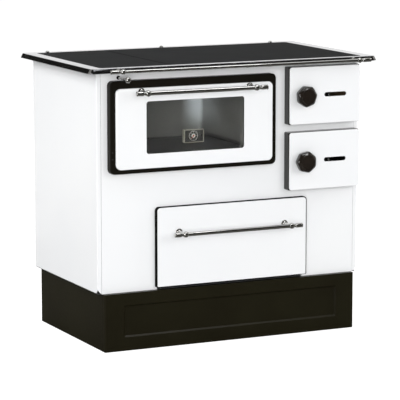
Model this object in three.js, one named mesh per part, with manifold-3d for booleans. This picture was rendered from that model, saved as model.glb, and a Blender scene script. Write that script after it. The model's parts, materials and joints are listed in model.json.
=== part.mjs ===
// Wood-burning kitchen cookstove: enamelled body on a dark plinth, steel cooktop with two lift-out hot
// plates, drop-down oven door with a window, firebox and ash doors with air slides, a wood drawer, rails
// and a damper. Millimetres, +Z up. X runs to the right and Y to the back. The stove stands on Z = 0 and
// its outline is centred on X = 0, Y = 0; the pieces are written with Y = 0 at the outer face of the front
// panel and then moved as a group.
import * as THREE from 'three';
import { mergeVertices } from 'three/addons/utils/BufferGeometryUtils.js';
import Module from 'manifold-3d';

const wasm = await Module();
wasm.setup();

// ---------- driving dimensions ----------
const gap = 0.3; // clearance kept between pieces that touch
const sheet = 2; // enamelled sheet steel

const body = { half: 437, depth: 500, low: 174.8, high: 835.7, fold: 13, foldRadius: 2.5,
  sideLow: 177.4, relief: 13 };
const frontPanel = { half: 423, mouthRadius: 5 };
const plinth = { half: 420.2, front: -15, back: 491, height: 174.5, cornerRadius: 4, return: 18, fold: 18 };
const plinthPanel = { half: 359, low: 41, high: 138, recess: 5, slope: 5, radius: 6 };

const cooktop = { half: 472, front: -47, back: 507, low: 836, high: 850, flare: 6, radius: 13, skin: 5,
  wall: 4 };
const cooktopLeg = { inner: 424, outer: 442, front: -34, back: 503, innerFront: 8, innerBack: 467 };
const hotPlate = { half: 434, front: -26.4, back: 477, thick: 6.7, seamX: -207, seamBar: 20,
  radius: 10, room: 0.5 };
const plateRib = { deep: 5, wide: 6, inset: 6 };
const capNut = { x: 389.5, y: 497, flange: 7.5, radius: 5.4, height: 6.2 };

const firebox = { left: 172, right: 432, front: 2.3, back: 430, low: 466, high: 830, ledge: 636,
  ledgeWide: 40 };
const brick = { thick: 27.7, high: 796, front: 22, courses: 3, groove: 2 };
const grate = { half: 97, back: 396, front: 32, thick: 11, slots: 8, slotWide: 11, rim: 14, bridge: 12 };
const ashPan = { half: 90, front: 14, back: 385, high: 48, wall: 1.5, lip: 10 };
const mouthMiddle = 305; // X of the middle of the firebox and ash mouths
const fireMouth = { left: 205, right: 405, low: 672, high: 803 };
const ashMouth = { left: 205, right: 405, low: 471, high: 604 };

const oven = { left: -362, right: 100, low: 572, high: 780, front: 2.3, back: 405, wall: 1.5, flange: 20,
  cornerRadius: 20 };
const ovenMouth = { left: -366, right: 104, low: 566, high: 778 };
const ovenFloor = { front: 8, back: 378, thick: 1.2, rise: 11 };
const gauge = { x: -8, y: 237, half: 34, high: 42, deep: 16, radius: 4, recess: 6, rim: 4.6, boss: 3.1,
  needle: 12 };
const flue = { x: -200, z: 690, radius: 60, flange: 76, reach: 40, wall: 2 };

const sideDoor = { left: 182.7, right: 426.6, radius: 4, lowRadius: 4 };
const fireDoor = { ...sideDoor, low: 649.5, high: 825.6, name: 'firebox' };
const ashDoor = { ...sideDoor, low: 448.8, high: 626.1, name: 'ash' };
const doorDepth = { face: -32, casting: -28, rear: -1, wall: 4 };
const sideHinge = { x: 418, y: -12.5, pin: 3, bore: 3.08, knuckle: 6, lug: 4.5, lugTall: 6, inset: 24,
  knuckleTall: 14 };
const knob = { x: 230, rear: -35, widest: -50, front: -70, across: 34, neck: 17, faceRadius: 25, sides: 7 };
const latch = { spindle: 6, bore: 6.08, boss: 10, bossRear: -12, tongue: 16, wide: 12, rear: 6.5,
  front: 2.5 };
const airSlot = { left: 304, right: 380, high: 13 };
const airSlide = { left: 248, right: 326, high: 26, thick: 2, pinX: 316, pin: 2.6, pinFront: -40, guide: 3 };

const ovenDoor = { left: -403.5, right: 141.8, low: 533.5, high: 809.2, radius: 14 };
const ovenDepth = { cover: -35, casting: -25, rear: -1.5, wall: 4 };
const ovenCover = { left: -387.5, right: 125.5, low: 547.3, high: 786.8, radius: 15 };
const ovenWindow = { left: -291.5, right: 29.5, low: 590.6, high: 746.5, radius: 8 };
const ovenLiner = { left: -354, right: 92, low: 578, high: 768, radius: 8, reach: 8 };
const ovenHinge = { y: -16, z: 538.5, pin: 2.5, bore: 2.57, knuckle: 4.8, lug: 4.3, lugWide: 5, inset: 34 };

const drawer = { left: -251, right: 256.5, low: 182.5, high: 425, face: -14, tray: -11, rear: -0.5,
  radius: 12 };
const drawerBox = { half: 238, low: 190, high: 395, front: -8.7, back: 440, wall: 1.5 };
const drawerMouth = { half: 244, high: 414 };
const runner = { tall: 40, step: 13, front: 12, back: 470 };

const handle = { span: 177.5, bar: 6.4, ball: 9.6, finial: 28, rosette: 11, stem: 4.4 };
const ovenHandle = { ...handle, x: -131, y: -83, z: 776, face: -35 };
const drawerHandle = { ...handle, x: 0, y: -62, z: 346, face: -14 };
const towelRail = { x: 0, y: -92, z: 843.5, face: -53.2, span: 391, bar: 5, ball: 8, finial: 32,
  rosette: 6.6, stem: 4.2 };
const damper = { x: -366.7, z: 817, rod: 3, hole: 3.4, ball: 9, tipY: -71.5, end: 80, plateHalf: 34,
  plateLow: 786 };

const frontmost = towelRail.y - towelRail.ball;
const originY = (body.depth + flue.reach + frontmost) / 2;

// ---------- materials ----------
function finish(color, roughness, metalness) {
  return new THREE.MeshStandardMaterial({ color, roughness, metalness });
}
const whiteEnamel = () => finish('#f4f4f2', 0.25, 0);
const darkEnamel = () => finish('#231e18', 0.3, 0);
const blackCasting = () => finish('#221f1b', 0.45, 0.2);
const plateSteel = () => finish('#3b3b3c', 0.5, 0.7);
const brightSteel = () => finish('#d6d6d4', 0.3, 1);
const chromePlate = () => finish('#c9c9cb', 0.12, 1);
const bakelite = () => finish('#241c19', 0.3, 0);
const castIron = () => finish('#3a3a3b', 0.75, 0.6);
const zincSheet = () => finish('#9fa2a3', 0.5, 0.9);
const ovenEnamel = () => finish('#45484c', 0.35, 0.1);
const fireclay = () => finish('#b89a74', 0.95, 0);
const doorGlass = () => finish('#20282a', 0.05, 0);
const needleRed = () => finish('#c2301f', 0.5, 0);

// ---------- solids ----------
// the triangles of a closed geometry with shared corners, turned so that its faces point outwards
function solid(geometry) {
  const bare = geometry.index ? geometry.toNonIndexed() : geometry.clone();
  bare.deleteAttribute('normal');
  bare.deleteAttribute('uv');
  const merged = mergeVertices(bare, 1e-4);
  const vertices = merged.attributes.position.array;
  const corners = merged.index.array;
  const triangles = [];
  let volume = 0;
  for (let i = 0; i < corners.length; i += 3) {
    const [a, b, c] = corners.slice(i, i + 3);
    if (a === b || b === c || c === a) continue;
    triangles.push(a, b, c);
    const [p, q, r] = [a, b, c].map((corner) => new THREE.Vector3().fromArray(vertices, corner * 3));
    volume += p.dot(q.cross(r));
  }
  if (volume < 0) triangles.reverse();
  return new wasm.Manifold(new wasm.Mesh({
    numProp: 3,
    vertProperties: new Float32Array(vertices),
    triVerts: new Uint32Array(triangles),
  }));
}
function toGeometry(manifold) {
  const mesh = manifold.getMesh();
  const geometry = new THREE.BufferGeometry();
  geometry.setAttribute('position', new THREE.BufferAttribute(new Float32Array(mesh.vertProperties), 3));
  geometry.setIndex(new THREE.BufferAttribute(new Uint32Array(mesh.triVerts), 1));
  geometry.computeVertexNormals();
  return geometry;
}
const joined = (...solids) => solids.reduce((whole, next) => whole.add(next));
const less = (whole, ...cuts) => cuts.reduce((left, cut) => left.subtract(cut), whole);
const ordered = (a, b) => (a < b ? [a, b] : [b, a]);

function block(x0, x1, y0, y1, z0, z1) {
  const [[xa, xb], [ya, yb], [za, zb]] = [ordered(x0, x1), ordered(y0, y1), ordered(z0, z1)];
  const geometry = new THREE.BoxGeometry(xb - xa, yb - ya, zb - za);
  return solid(geometry.translate((xa + xb) / 2, (ya + yb) / 2, (za + zb) / 2));
}
// a profile of [radius, distance] points turned about a line from a point along a direction
function turned(profile, origin, direction, sides = 12) {
  const points = profile.map(([radius, distance]) => new THREE.Vector2(radius, distance));
  const geometry = new THREE.LatheGeometry(points, sides);
  const turn = new THREE.Quaternion().setFromUnitVectors(new THREE.Vector3(0, 1, 0),
    new THREE.Vector3(...direction));
  return solid(geometry.applyQuaternion(turn).translate(...origin));
}
function bar(radius, length, origin, direction, sides = 16) {
  return turned([[0, 0], [radius, 0], [radius, length], [0, length]], origin, direction, sides);
}
const toRight = [1, 0, 0];
const toLeft = [-1, 0, 0];
const toBack = [0, 1, 0];
const toFront = [0, -1, 0];
const upwards = [0, 0, 1];

function quarter(u, v, radius, turn, steps) {
  if (radius === 0) return [[u, v]];
  return Array.from({ length: steps + 1 }, (_, i) => {
    const angle = (turn + i / steps) * Math.PI / 2;
    return [u + radius * Math.cos(angle), v + radius * Math.sin(angle)];
  });
}
// the points of a rectangle with rounded corners, drawn in by an inset; the lower corners may have a
// radius of their own
function rectPoints(area, inset = 0, steps = 3) {
  const round = (radius) => (radius === 0 ? 0 : Math.max(radius - inset, 0.6));
  const high = round(area.radius ?? 0);
  const low = round(area.lowRadius ?? area.radius ?? 0);
  const [left, right, bottom, top] = [area.left + inset, area.right - inset, area.low + inset,
    area.high - inset];
  return [
    ...quarter(right - low, bottom + low, low, 3, steps),
    ...quarter(right - high, top - high, high, 0, steps),
    ...quarter(left + high, top - high, high, 1, steps),
    ...quarter(left + low, bottom + low, low, 2, steps),
  ];
}
function outline(points, ...holes) {
  const shape = new THREE.Shape(points.map(([u, v]) => new THREE.Vector2(u, v)));
  for (const hole of holes) shape.holes.push(new THREE.Path(hole.map(([u, v]) => new THREE.Vector2(u, v))));
  return shape;
}
function extruded(shape, depth) {
  return new THREE.ExtrudeGeometry(shape, { depth, bevelEnabled: false, curveSegments: 5 });
}
const flat = (shape, z0, z1) => solid(extruded(shape, z1 - z0).translate(0, 0, z0)); // an X-Y outline
const upright = (shape, y0, y1) => solid(extruded(shape, y1 - y0) // an X-Z outline
  .rotateX(Math.PI / 2)
  .translate(0, y1, 0));
const sideways = (shape, x0, x1) => solid(extruded(shape, x1 - x0) // a Y-Z outline
  .applyMatrix4(new THREE.Matrix4().makeBasis(
    new THREE.Vector3(...toBack), new THREE.Vector3(...upwards), new THREE.Vector3(...toRight)))
  .translate(x0, 0, 0));

// a closed solid through rings of equal point count, with a flat fan at each end
function lofted(rings) {
  const count = rings[0].length;
  const index = [];
  for (let ring = 0; ring + 1 < rings.length; ring++) {
    for (let i = 0; i < count; i++) {
      const a = ring * count + i;
      const b = ring * count + ((i + 1) % count);
      index.push(a, b, b + count, a, b + count, a + count);
    }
  }
  const last = (rings.length - 1) * count;
  for (let i = 1; i + 1 < count; i++) index.push(0, i + 1, i, last, last + i, last + i + 1);
  const geometry = new THREE.BufferGeometry();
  geometry.setAttribute('position', new THREE.Float32BufferAttribute(rings.flat(2), 3));
  geometry.setIndex(index);
  return solid(geometry);
}
// a rounded slab that stands in the X-Z plane; stations are [y, inset] from its front to its back
function pressing(area, stations) {
  return lofted(stations.map(([y, inset]) => rectPoints(area, inset).map(([x, z]) => [x, y, z])));
}
// the same lying in the X-Y plane: stations are [z, inset] from low to high, the area's low and high are Y
function slab(area, stations) {
  return lofted(stations.map(([z, inset]) => rectPoints(area, inset).map(([x, y]) => [x, y, z])));
}

const stove = new THREE.Group();
stove.position.y = -originY;
function add(name, manifold, material) {
  const mesh = new THREE.Mesh(toGeometry(manifold), material);
  mesh.name = name;
  stove.add(mesh);
}

// ---------- plinth ----------
function plinthFront() {
  const { half, front, height, cornerRadius: r, return: returned, fold } = plinth;
  const back = front + returned;
  const faceOut = { left: -half, right: half, low: front, high: back, radius: 0, lowRadius: r };
  const skin = flat(outline(rectPoints(faceOut)), 0, height);
  const hollow = { left: -half + sheet, right: half - sheet, low: front + sheet, high: back + 1,
    radius: 0, lowRadius: 2 };
  const inside = flat(outline(rectPoints(hollow)), sheet, height - sheet);
  const between = block(-half + fold, half - fold, front + fold, back + 1, -1, height + 1);
  const panel = { left: -plinthPanel.half, right: plinthPanel.half, ...plinthPanel };
  const { recess, slope } = plinthPanel;
  const dent = pressing(panel, [[front - 1, 0], [front, 0], [front + recess, slope]]);
  const bulge = pressing(panel, [[front + 1, -sheet / 2], [front + recess + sheet, slope - sheet / 2]]);
  return less(joined(less(skin, inside, between), bulge), dent);
}
// three sides of a rectangle, open to the front, as a channel with a fold at its top and its foot
function plinthSkirt() {
  const { half, front, back, height, return: returned, fold } = plinth;
  const start = front + returned + gap;
  const ring = (wide) => outline([[-half, start], [-half + wide, start], [-half + wide, back - wide],
    [half - wide, back - wide], [half - wide, start], [half, start], [half, back], [-half, back]]);
  return joined(flat(ring(sheet), 0, height), flat(ring(fold), 0, sheet), flat(ring(fold),
    height - sheet, height));
}

// ---------- outer body ----------
function sidePanel(side) {
  const { half, depth, high, fold, foldRadius: r, sideLow, relief } = body;
  const at = (x, y) => [side * x, y];
  const bend = (y, turn) => quarter(half - r, y, r, turn, 2).map(([x, v]) => at(x, v));
  const channel = outline([at(half - fold, 0), ...bend(r, 3), ...bend(depth - r, 0), at(half - fold, depth),
    at(half - fold, depth - sheet), at(half - sheet, depth - sheet), at(half - sheet, sheet),
    at(half - fold, sheet)]);
  // the lower front corner is relieved where the fold starts, on the side and on its return
  const sideCut = sideways(outline([[-1, sideLow - 1], [relief, sideLow - 1], [-1, sideLow + relief]]),
    ...ordered(side * (half - 3), side * (half + 1)));
  const returnCut = upright(outline([[side * (half + 1), sideLow - 1], [side * (half - fold + 2),
    sideLow - 1],
    [side * (half + 1), sideLow + relief]]), -1, 3);
  return less(flat(channel, sideLow, high), sideCut, returnCut);
}
function frontSheet() {
  const { half, mouthRadius: radius } = frontPanel;
  const { low, high } = body;
  const edge = [[-half, low], [-drawerMouth.half, low], [-drawerMouth.half, drawerMouth.high],
    [drawerMouth.half, drawerMouth.high], [drawerMouth.half, low], [half, low], [half, high], [-half, high]];
  const mouths = [ovenMouth, fireMouth, ashMouth].map((mouth) => rectPoints({ ...mouth, radius }));
  const damperHole = bar(damper.hole, 4, [damper.x, -1, damper.z], toBack, 12);
  return less(upright(outline(edge, ...mouths), 0, sheet), damperHole);
}
function backSheet() {
  const panel = block(-frontPanel.half, frontPanel.half, body.depth - sheet, body.depth, body.low, body.high);
  return less(panel, bar(flue.radius - flue.wall, 6, [flue.x, body.depth - 4, flue.z], toBack, 24));
}
function flueCollar() {
  const { x, z, radius, flange, reach, wall } = flue;
  const profile = [[radius - wall, gap], [flange, gap], [flange, gap + 3], [radius + 3, gap + 3],
    [radius, gap + 6],
    [radius, reach], [radius - wall, reach], [radius - wall, gap]];
  return turned(profile, [x, body.depth, z], toBack, 28);
}
function basePlate() {
  const half = body.half - sheet - gap;
  return block(-half, half, sheet + gap, body.depth - sheet - gap, body.low, body.low + sheet);
}

// ---------- cooktop ----------
function cooktopFrame() {
  const { half, front, back, low, high, flare, radius, skin, wall } = cooktop;
  const leg = cooktopLeg;
  const edge = { left: -half, right: half, low: front, high: back, radius };
  const whole = slab(edge, [[low, -flare], [low + 2, -flare], [high - 0.8, -0.4], [high, 0.8]]);
  const rimInside = { left: -half + wall, right: half - wall, low: front + wall, high: back - 1,
    radius: radius - 4 };
  const legOutside = { left: -leg.outer, right: leg.outer, low: leg.front, high: leg.back, radius: 6 };
  const channel = less(slab(rimInside, [[low - 1, 0], [high - skin, 0]]), slab(legOutside, [[low - 2,
    0], [high, 0]]));
  const bars = [[-leg.inner, hotPlate.seamX - hotPlate.seamBar / 2],
    [hotPlate.seamX + hotPlate.seamBar / 2, leg.inner]];
  const throats = bars.map(([left, right]) => slab(
    { left, right, low: leg.innerFront, high: leg.innerBack, radius: 12 }, [[low - 1, 0], [high + 1, 0]]));
  const rebate = { left: -hotPlate.half, right: hotPlate.half, low: hotPlate.front, high: hotPlate.back,
    radius: hotPlate.radius };
  const seat = slab(rebate, [[high - hotPlate.thick - gap, -hotPlate.room], [high + 1, -hotPlate.room]]);
  const railHoles = [-1, 1].map((side) => bar(towelRail.stem - 0.1, 20,
    [side * towelRail.span, towelRail.face - 2, towelRail.z], toBack, 14));
  return less(whole, channel, ...throats, seat, ...railHoles);
}
// a hot plate between two heights of X, with a rib ring and cross ribs cast under it
function hotPlateCasting(left, right, ribCount) {
  const { half, front, back, thick, radius } = hotPlate;
  const { deep, wide, inset } = plateRib;
  const top = cooktop.high;
  const sheetArea = { left: -half, right: half, low: front, high: back, radius };
  const plate = slab(sheetArea, [[top - thick, 0], [top - 0.6, 0], [top, 0.6]])
    .intersect(block(left, right, front - 1, back + 1, top - thick - 1, top + 1));
  const underSeam = hotPlate.seamBar / 2;
  const throatLeft = inset + (left < -cooktopLeg.inner ? -cooktopLeg.inner : left + underSeam);
  const throatRight = (right > cooktopLeg.inner ? cooktopLeg.inner : right - underSeam) - inset;
  const y0 = cooktopLeg.innerFront + inset;
  const y1 = cooktopLeg.innerBack - inset;
  const ribHigh = top - thick + 0.5;
  const ring = less(block(throatLeft, throatRight, y0, y1, top - thick - deep, ribHigh),
    block(throatLeft + wide, throatRight - wide, y0 + wide, y1 - wide, top - thick - deep - 1, ribHigh + 1));
  const pitch = (throatRight - throatLeft) / (ribCount + 1);
  const cross = Array.from({ length: ribCount }, (_, i) => throatLeft + pitch * (i + 1))
    .map((x) => block(x - wide / 2, x + wide / 2, y0 + 1, y1 - 1, top - thick - deep, ribHigh));
  return joined(plate, ring, ...cross);
}
function domedNut(x) {
  const { y, flange, radius, height } = capNut;
  const dome = [0, 1, 2].map((i) => {
    const angle = i * Math.PI / 6;
    return [radius * Math.cos(angle), gap + 2.6 + (height - 2.6) * Math.sin(angle)];
  });
  const profile = [[0, gap], [flange, gap], [flange, gap + 1.2], [radius, gap + 1.5], ...dome,
    [0, gap + height]];
  return turned(profile, [x, y, cooktop.high], upwards, 12);
}

// ---------- rails and handles ----------
// the ball at the end of a bar with its turned finial; distances run outwards from the middle of the ball
function ballAndFinial(spec, side) {
  const { ball, bar: barRadius, finial, x, y, z, span } = spec;
  const seatAt = Math.sqrt(ball ** 2 - barRadius ** 2) - 0.2;
  const sphere = [0.18, 0.36, 0.54, 0.72].map((part) => part * Math.PI)
    .map((angle) => [ball * Math.sin(angle), -ball * Math.cos(angle)])
    .filter(([, distance]) => distance > -seatAt);
  const turning = [[0.6, 0.9], [0.66, 0.96], [0.66, 1.12], [0.46, 1.2], [0.44, 1.34], [0.74, 1.56],
    [0.76, 2.2]]
    .map(([radius, distance]) => [radius * ball, distance * ball]);
  const tip = ball + finial;
  const end = [[0.6 * ball, tip - 0.55 * ball], [0.3 * ball, tip - 0.4 * ball], [0.4 * ball,
    tip - 0.2 * ball],
    [0.25 * ball, tip]];
  const seatRadius = Math.sqrt(ball ** 2 - seatAt ** 2);
  const profile = [[0, -seatAt], [seatRadius, -seatAt], ...sphere, ...turning, ...end, [0, tip]];
  return turned(profile, [x + side * span, y, z], side < 0 ? toLeft : toRight);
}
function stemAndRosette(spec, side) {
  const { x, y, z, span, face, stem, rosette, ball } = spec;
  const reach = face - y - ball / 2;
  const profile = [[0, gap], [rosette, gap], [rosette, gap + 2], [rosette * 0.72, gap + 3.2],
    [stem * 1.2, gap + 6],
    [stem, gap + 9], [stem, reach], [0, reach]];
  return turned(profile, [x + side * span, face, z], toFront);
}
function addHandle(name, spec, through = 0) {
  const { x, y, z, span, ball, bar: barRadius, face, stem } = spec;
  const seatAt = Math.sqrt(ball ** 2 - barRadius ** 2) - 0.2;
  const length = 2 * (span - seatAt - gap);
  add(`${name}_bar`, bar(barRadius, length, [x - length / 2, y, z], toRight), chromePlate());
  for (const [side, word] of [[-1, 'left'], [1, 'right']]) {
    let post = joined(ballAndFinial(spec, side), stemAndRosette(spec, side));
    if (through) post = post.add(bar(stem - 0.4, through + 2, [x + side * span, face - 2, z], toBack, 14));
    add(`${name}_post_${word}`, post, chromePlate());
  }
}

// ---------- firebox ----------
function fireboxShell() {
  const { left, right, front, back, low, high } = firebox;
  return less(block(left, right, front, back, low, high),
    block(left + sheet, right - sheet, front - 1, back - sheet, low + sheet, high + 1));
}
// the flat ring half way up the firebox that carries the grate and the bricks
function grateFrameRing() {
  const { left, right, front, back, ledge, ledgeWide } = firebox;
  const room = sheet + gap;
  return less(block(left + room, right - room, front, back - room, ledge, ledge + 4),
    block(left + ledgeWide, right - ledgeWide, front + ledgeWide, back - ledgeWide, ledge - 1, ledge + 5));
}
// a firebrick lining slab with the joints of its courses grooved into the fire side
function brickSlab(x0, x1, y0, y1, facing) {
  const low = firebox.ledge + 4 + gap;
  const slabSolid = block(x0, x1, y0, y1, low, brick.high);
  const g = brick.groove;
  const grooves = Array.from({ length: brick.courses - 1 }, (_, i) => {
    const z = low + (brick.high - low) * (i + 1) / brick.courses;
    if (facing === 'front') return block(x0 - 1, x1 + 1, y0 - 1, y0 + g, z, z + g);
    const face = facing === 'right' ? x1 : x0;
    return block(face - g, face + g, y0 - 1, y1 + 1, z, z + g);
  });
  return less(slabSolid, ...grooves);
}
function fireGrate() {
  const { half, front, back, thick, slots, slotWide, rim, bridge } = grate;
  const low = firebox.ledge + 4 + gap;
  const pitch = (2 * half - 2 * rim - slotWide) / (slots - 1);
  const middle = (front + back) / 2;
  const holes = Array.from({ length: slots }, (_, i) => mouthMiddle - half + rim + i * pitch)
    .flatMap((left) => [[front + rim, middle - bridge / 2], [middle + bridge / 2, back - rim]]
      .map(([y0, y1]) => rectPoints({ left, right: left + slotWide, low: y0, high: y1,
        radius: slotWide / 2 }, 0, 2)));
  const edge = { left: mouthMiddle - half, right: mouthMiddle + half, low: front, high: back, radius: 6 };
  return flat(outline(rectPoints(edge, 0, 2), ...holes), low, low + thick);
}
function ashTray() {
  const { half, front, back, high, wall, lip } = ashPan;
  const low = firebox.low + sheet + gap;
  const [left, right] = [mouthMiddle - half, mouthMiddle + half];
  const tray = less(block(left, right, front, back, low, low + high),
    block(left + wall, right - wall, front + wall, back - wall, low + wall, low + high + 1));
  const pull = { left: mouthMiddle - 40, right: mouthMiddle + 40, low: low + high - 16,
    high: low + high, radius: 5 };
  const tab = upright(outline(rectPoints(pull)), front - lip, front + wall);
  const finger = block(pull.left + 6, pull.right - 6, front - lip + wall, front, low + high - 17,
    low + high - wall);
  return joined(less(tab, finger), tray);
}

// ---------- oven ----------
// a box that is open to the front, with its two back corners rounded
function ovenBox() {
  const { left, right, low, high, front, back, wall, cornerRadius } = oven;
  const cell = (inset, start, z0, z1) => flat(outline(rectPoints({ left: left + inset, right: right - inset,
    low: start, high: back - inset, radius: cornerRadius - inset, lowRadius: 0 })), z0, z1);
  return less(cell(0, front, low, high), cell(wall, front - 1, low + wall, high - wall));
}
// the flange round the oven's mouth, behind the front panel
function ovenFlange() {
  const { left, right, low, high, front, flange } = oven;
  return less(block(left - flange, right + flange, front, front + sheet, low - flange, high + flange),
    block(left - gap, right + gap, front - 1, front + sheet + 1, low - gap, high + gap));
}
// the loose plate on the oven's floor, with its two sides turned up
function ovenFloorPlate() {
  const { front, back, thick, rise } = ovenFloor;
  const room = oven.wall + gap;
  const [left, right, low] = [oven.left + room, oven.right - room, oven.low + room];
  return less(block(left, right, front, back, low, low + rise),
    block(left + thick, right - thick, front - 1, back + 1, low + thick, low + rise + 1));
}
const gaugeLow = oven.low + oven.wall + gap + ovenFloor.thick + gap;
function gaugeCase() {
  const { x, y, half, high, deep, radius, recess, rim, boss } = gauge;
  const area = { left: x - half, right: x + half, low: gaugeLow, high: gaugeLow + high, radius };
  const box = pressing(area, [[y, 1], [y + 1, 0], [y + deep, 0]]);
  const stations = [[y - 1, rim - 2], [y, rim - 2], [y + recess, rim]];
  const window = pressing({ ...area, radius: radius - 1 }, stations);
  return joined(less(box, window), bar(boss, 1.6, [x, y + recess - 1.1, gaugeLow + high / 2], toBack, 10));
}
function gaugeNeedle() {
  const { x, y, high, recess, needle } = gauge;
  const z = gaugeLow + high / 2;
  const front = y + recess - 2;
  const cold = -0.75 * Math.PI; // the pointer rests at the lower left of the dial
  const along = (across, up) => [x + across * Math.cos(cold) + up * Math.sin(cold),
    z - across * Math.sin(cold) + up * Math.cos(cold)];
  const corners = [along(-1.6, -3.5), along(1.6, -3.5), along(0.4, needle), along(-0.4, needle)];
  return joined(upright(outline(corners), front, front + 0.55), bar(2.2, 0.55, [x, front, z], toBack, 10));
}

// ---------- firebox and ash doors ----------
const hingeHeights = (door) => [door.low + sideHinge.inset, door.high - sideHinge.inset];
function doorCasting(door) {
  const { casting, rear, wall } = doorDepth;
  const { x, y, bore, knuckle, lugTall, knuckleTall } = sideHinge;
  const middle = (door.low + door.high) / 2;
  const shell = pressing(door, [[casting, 0.8], [casting + 1.2, 0], [rear, 0]]);
  const hollow = pressing({ ...door, radius: 2, lowRadius: 2 }, [[casting + wall, wall], [rear + 1, wall]]);
  const innerFace = casting + wall;
  const boss = bar(latch.boss, latch.bossRear - innerFace + 0.5, [knob.x, innerFace - 0.5, middle],
    toBack, 16);
  const guides = [-1, 1].map((side) => {
    const z = middle + side * (airSlide.high / 2 + 0.6);
    const depth = airSlide.thick + 2;
    const strip = block(244, 408, innerFace - 0.5, innerFace + depth, z, z + side * airSlide.guide);
    const lip = block(244, 408, innerFace + depth - 1.2, innerFace + depth, z - side * 3,
      z + side * airSlide.guide);
    return joined(strip, lip);
  });
  // each knuckle sits on the inner side of its lug, nearer the middle of the door
  const knuckles = hingeHeights(door).map((z, i) => {
    const start = i === 0 ? z + lugTall / 2 + 0.5 : z - lugTall / 2 - 0.5 - knuckleTall;
    return bar(knuckle, knuckleTall, [x, y, start], upwards, 20);
  });
  const pinBore = bar(bore, door.high - door.low + 2, [x, y, door.low - 1], upwards, 20);
  const lugNotches = hingeHeights(door).map((z) => block(door.right - wall - 1, door.right + 1, y - 6,
    rear + 1,
    z - lugTall / 2 - 1, z + lugTall / 2 + 1));
  const heel = flat(outline([[door.right - 5.1, rear - 0.6], [door.right + 1, rear - 4.6],
    [door.right + 1, rear + 2],
    [door.right - 5.1, rear + 2]]), door.low - 1, door.high + 1);
  const spindleBore = bar(latch.bore, 40, [knob.x, casting - 2, middle], toBack, 20);
  const keptKnuckles = less(joined(...knuckles), pinBore);
  const body = joined(less(joined(less(shell, hollow), boss, ...guides), ...lugNotches, heel), keptKnuckles);
  return less(body, spindleBore, pinBore, slotCut(middle, casting - 2, innerFace + 1));
}
function slotCut(z, y0, y1) {
  const { left, right, high } = airSlot;
  return upright(outline(rectPoints({ left, right, low: z - high / 2, high: z + high / 2,
    radius: high / 2 - 0.01 })),
    y0, y1);
}
function doorCover(door) {
  const { face, casting } = doorDepth;
  const middle = (door.low + door.high) / 2;
  const area = { ...door, radius: 9, lowRadius: 9 };
  const plate = pressing(area, [[face, 1.6], [face + 0.5, 0.5], [face + 1.6, 0], [casting - gap, 0]]);
  const spindleHole = bar(latch.bore + 1.5, 12, [knob.x, face - 2, middle], toBack, 16);
  return less(plate, spindleHole, slotCut(middle, face - 2, casting + 1));
}
function doorHinge(door) {
  const { x, y, pin, lug, lugTall } = sideHinge;
  const reach = Math.abs(y) - gap;
  const plates = hingeHeights(door).map((z) => {
    const nose = Array.from({ length: 9 }, (_, i) => Math.PI + i * Math.PI / 8)
      .map((angle) => [x + lug * Math.cos(angle), y + lug * Math.sin(angle)]);
    return flat(outline([...nose, [x + lug, y + reach], [x - lug, y + reach]]), z - lugTall / 2,
      z + lugTall / 2);
  });
  const [low, high] = hingeHeights(door);
  return joined(bar(pin, high - low + lugTall, [x, y, low - lugTall / 2], upwards, 20), ...plates);
}
// a faceted grip: flat-sided behind, drawn in to a round front face, with a shallow dish in the face
function knobGrip(door, turn) {
  const { x, rear, widest, front, across, neck, faceRadius, sides } = knob;
  const z = (door.low + door.high) / 2;
  const steps = 3;
  const around = sides * steps;
  const ringAt = (y, polygonRadius, roundness) => Array.from({ length: around }, (_, i) => {
    const angle = (i / around) * 2 * Math.PI + turn;
    const inSide = ((i % steps) / steps - 0.5) * 2 * Math.PI / sides;
    const flatSided = polygonRadius * Math.cos(Math.PI / sides) / Math.cos(inSide);
    const radius = flatSided * (1 - roundness) + polygonRadius * Math.cos(Math.PI / sides) * roundness;
    return [x + radius * Math.cos(angle), y, z + radius * Math.sin(angle)];
  });
  const grip = lofted([ringAt(rear, neck, 1), ringAt(rear - 4, neck, 1), ringAt(rear - 7, across - 5, 0.3),
    ringAt(widest, across, 0), ringAt(front + 9, across, 0), ringAt(front + 3, across - 4, 0.6),
    ringAt(front, faceRadius + 2, 1)]);
  const dish = lofted([ringAt(front - 1, faceRadius - 0.5, 1), ringAt(front + 1, faceRadius - 2.5, 1)]);
  return less(grip, dish, bar(latch.spindle + 0.2, 14, [x, rear - 12, z], toBack, 20));
}
function latchSpindle(door) {
  const { spindle, tongue, wide, rear, front } = latch;
  const z = (door.low + door.high) / 2;
  const shaftFront = knob.rear - 12 + gap;
  const shaft = bar(spindle, rear - shaftFront, [knob.x, shaftFront, z], toBack, 20);
  const area = { left: knob.x - tongue, right: knob.x + 9, low: z - wide / 2, high: z + wide / 2, radius: 4 };
  return joined(shaft, upright(outline(rectPoints(area, 0, 2)), front, rear));
}
function slidePlate(door) {
  const { left, right, high, thick, pinX, pin, pinFront } = airSlide;
  const z = (door.low + door.high) / 2;
  const rear = doorDepth.casting + doorDepth.wall + gap + thick;
  const plate = block(left, right, rear - thick, rear, z - high / 2, z + high / 2);
  return joined(plate, turned([[0, 0], [pin - 0.6, 0], [pin, 0.6], [pin, rear - pinFront - 1], [0,
    rear - pinFront - 1]],
    [pinX, pinFront, z], toBack, 12));
}

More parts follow.
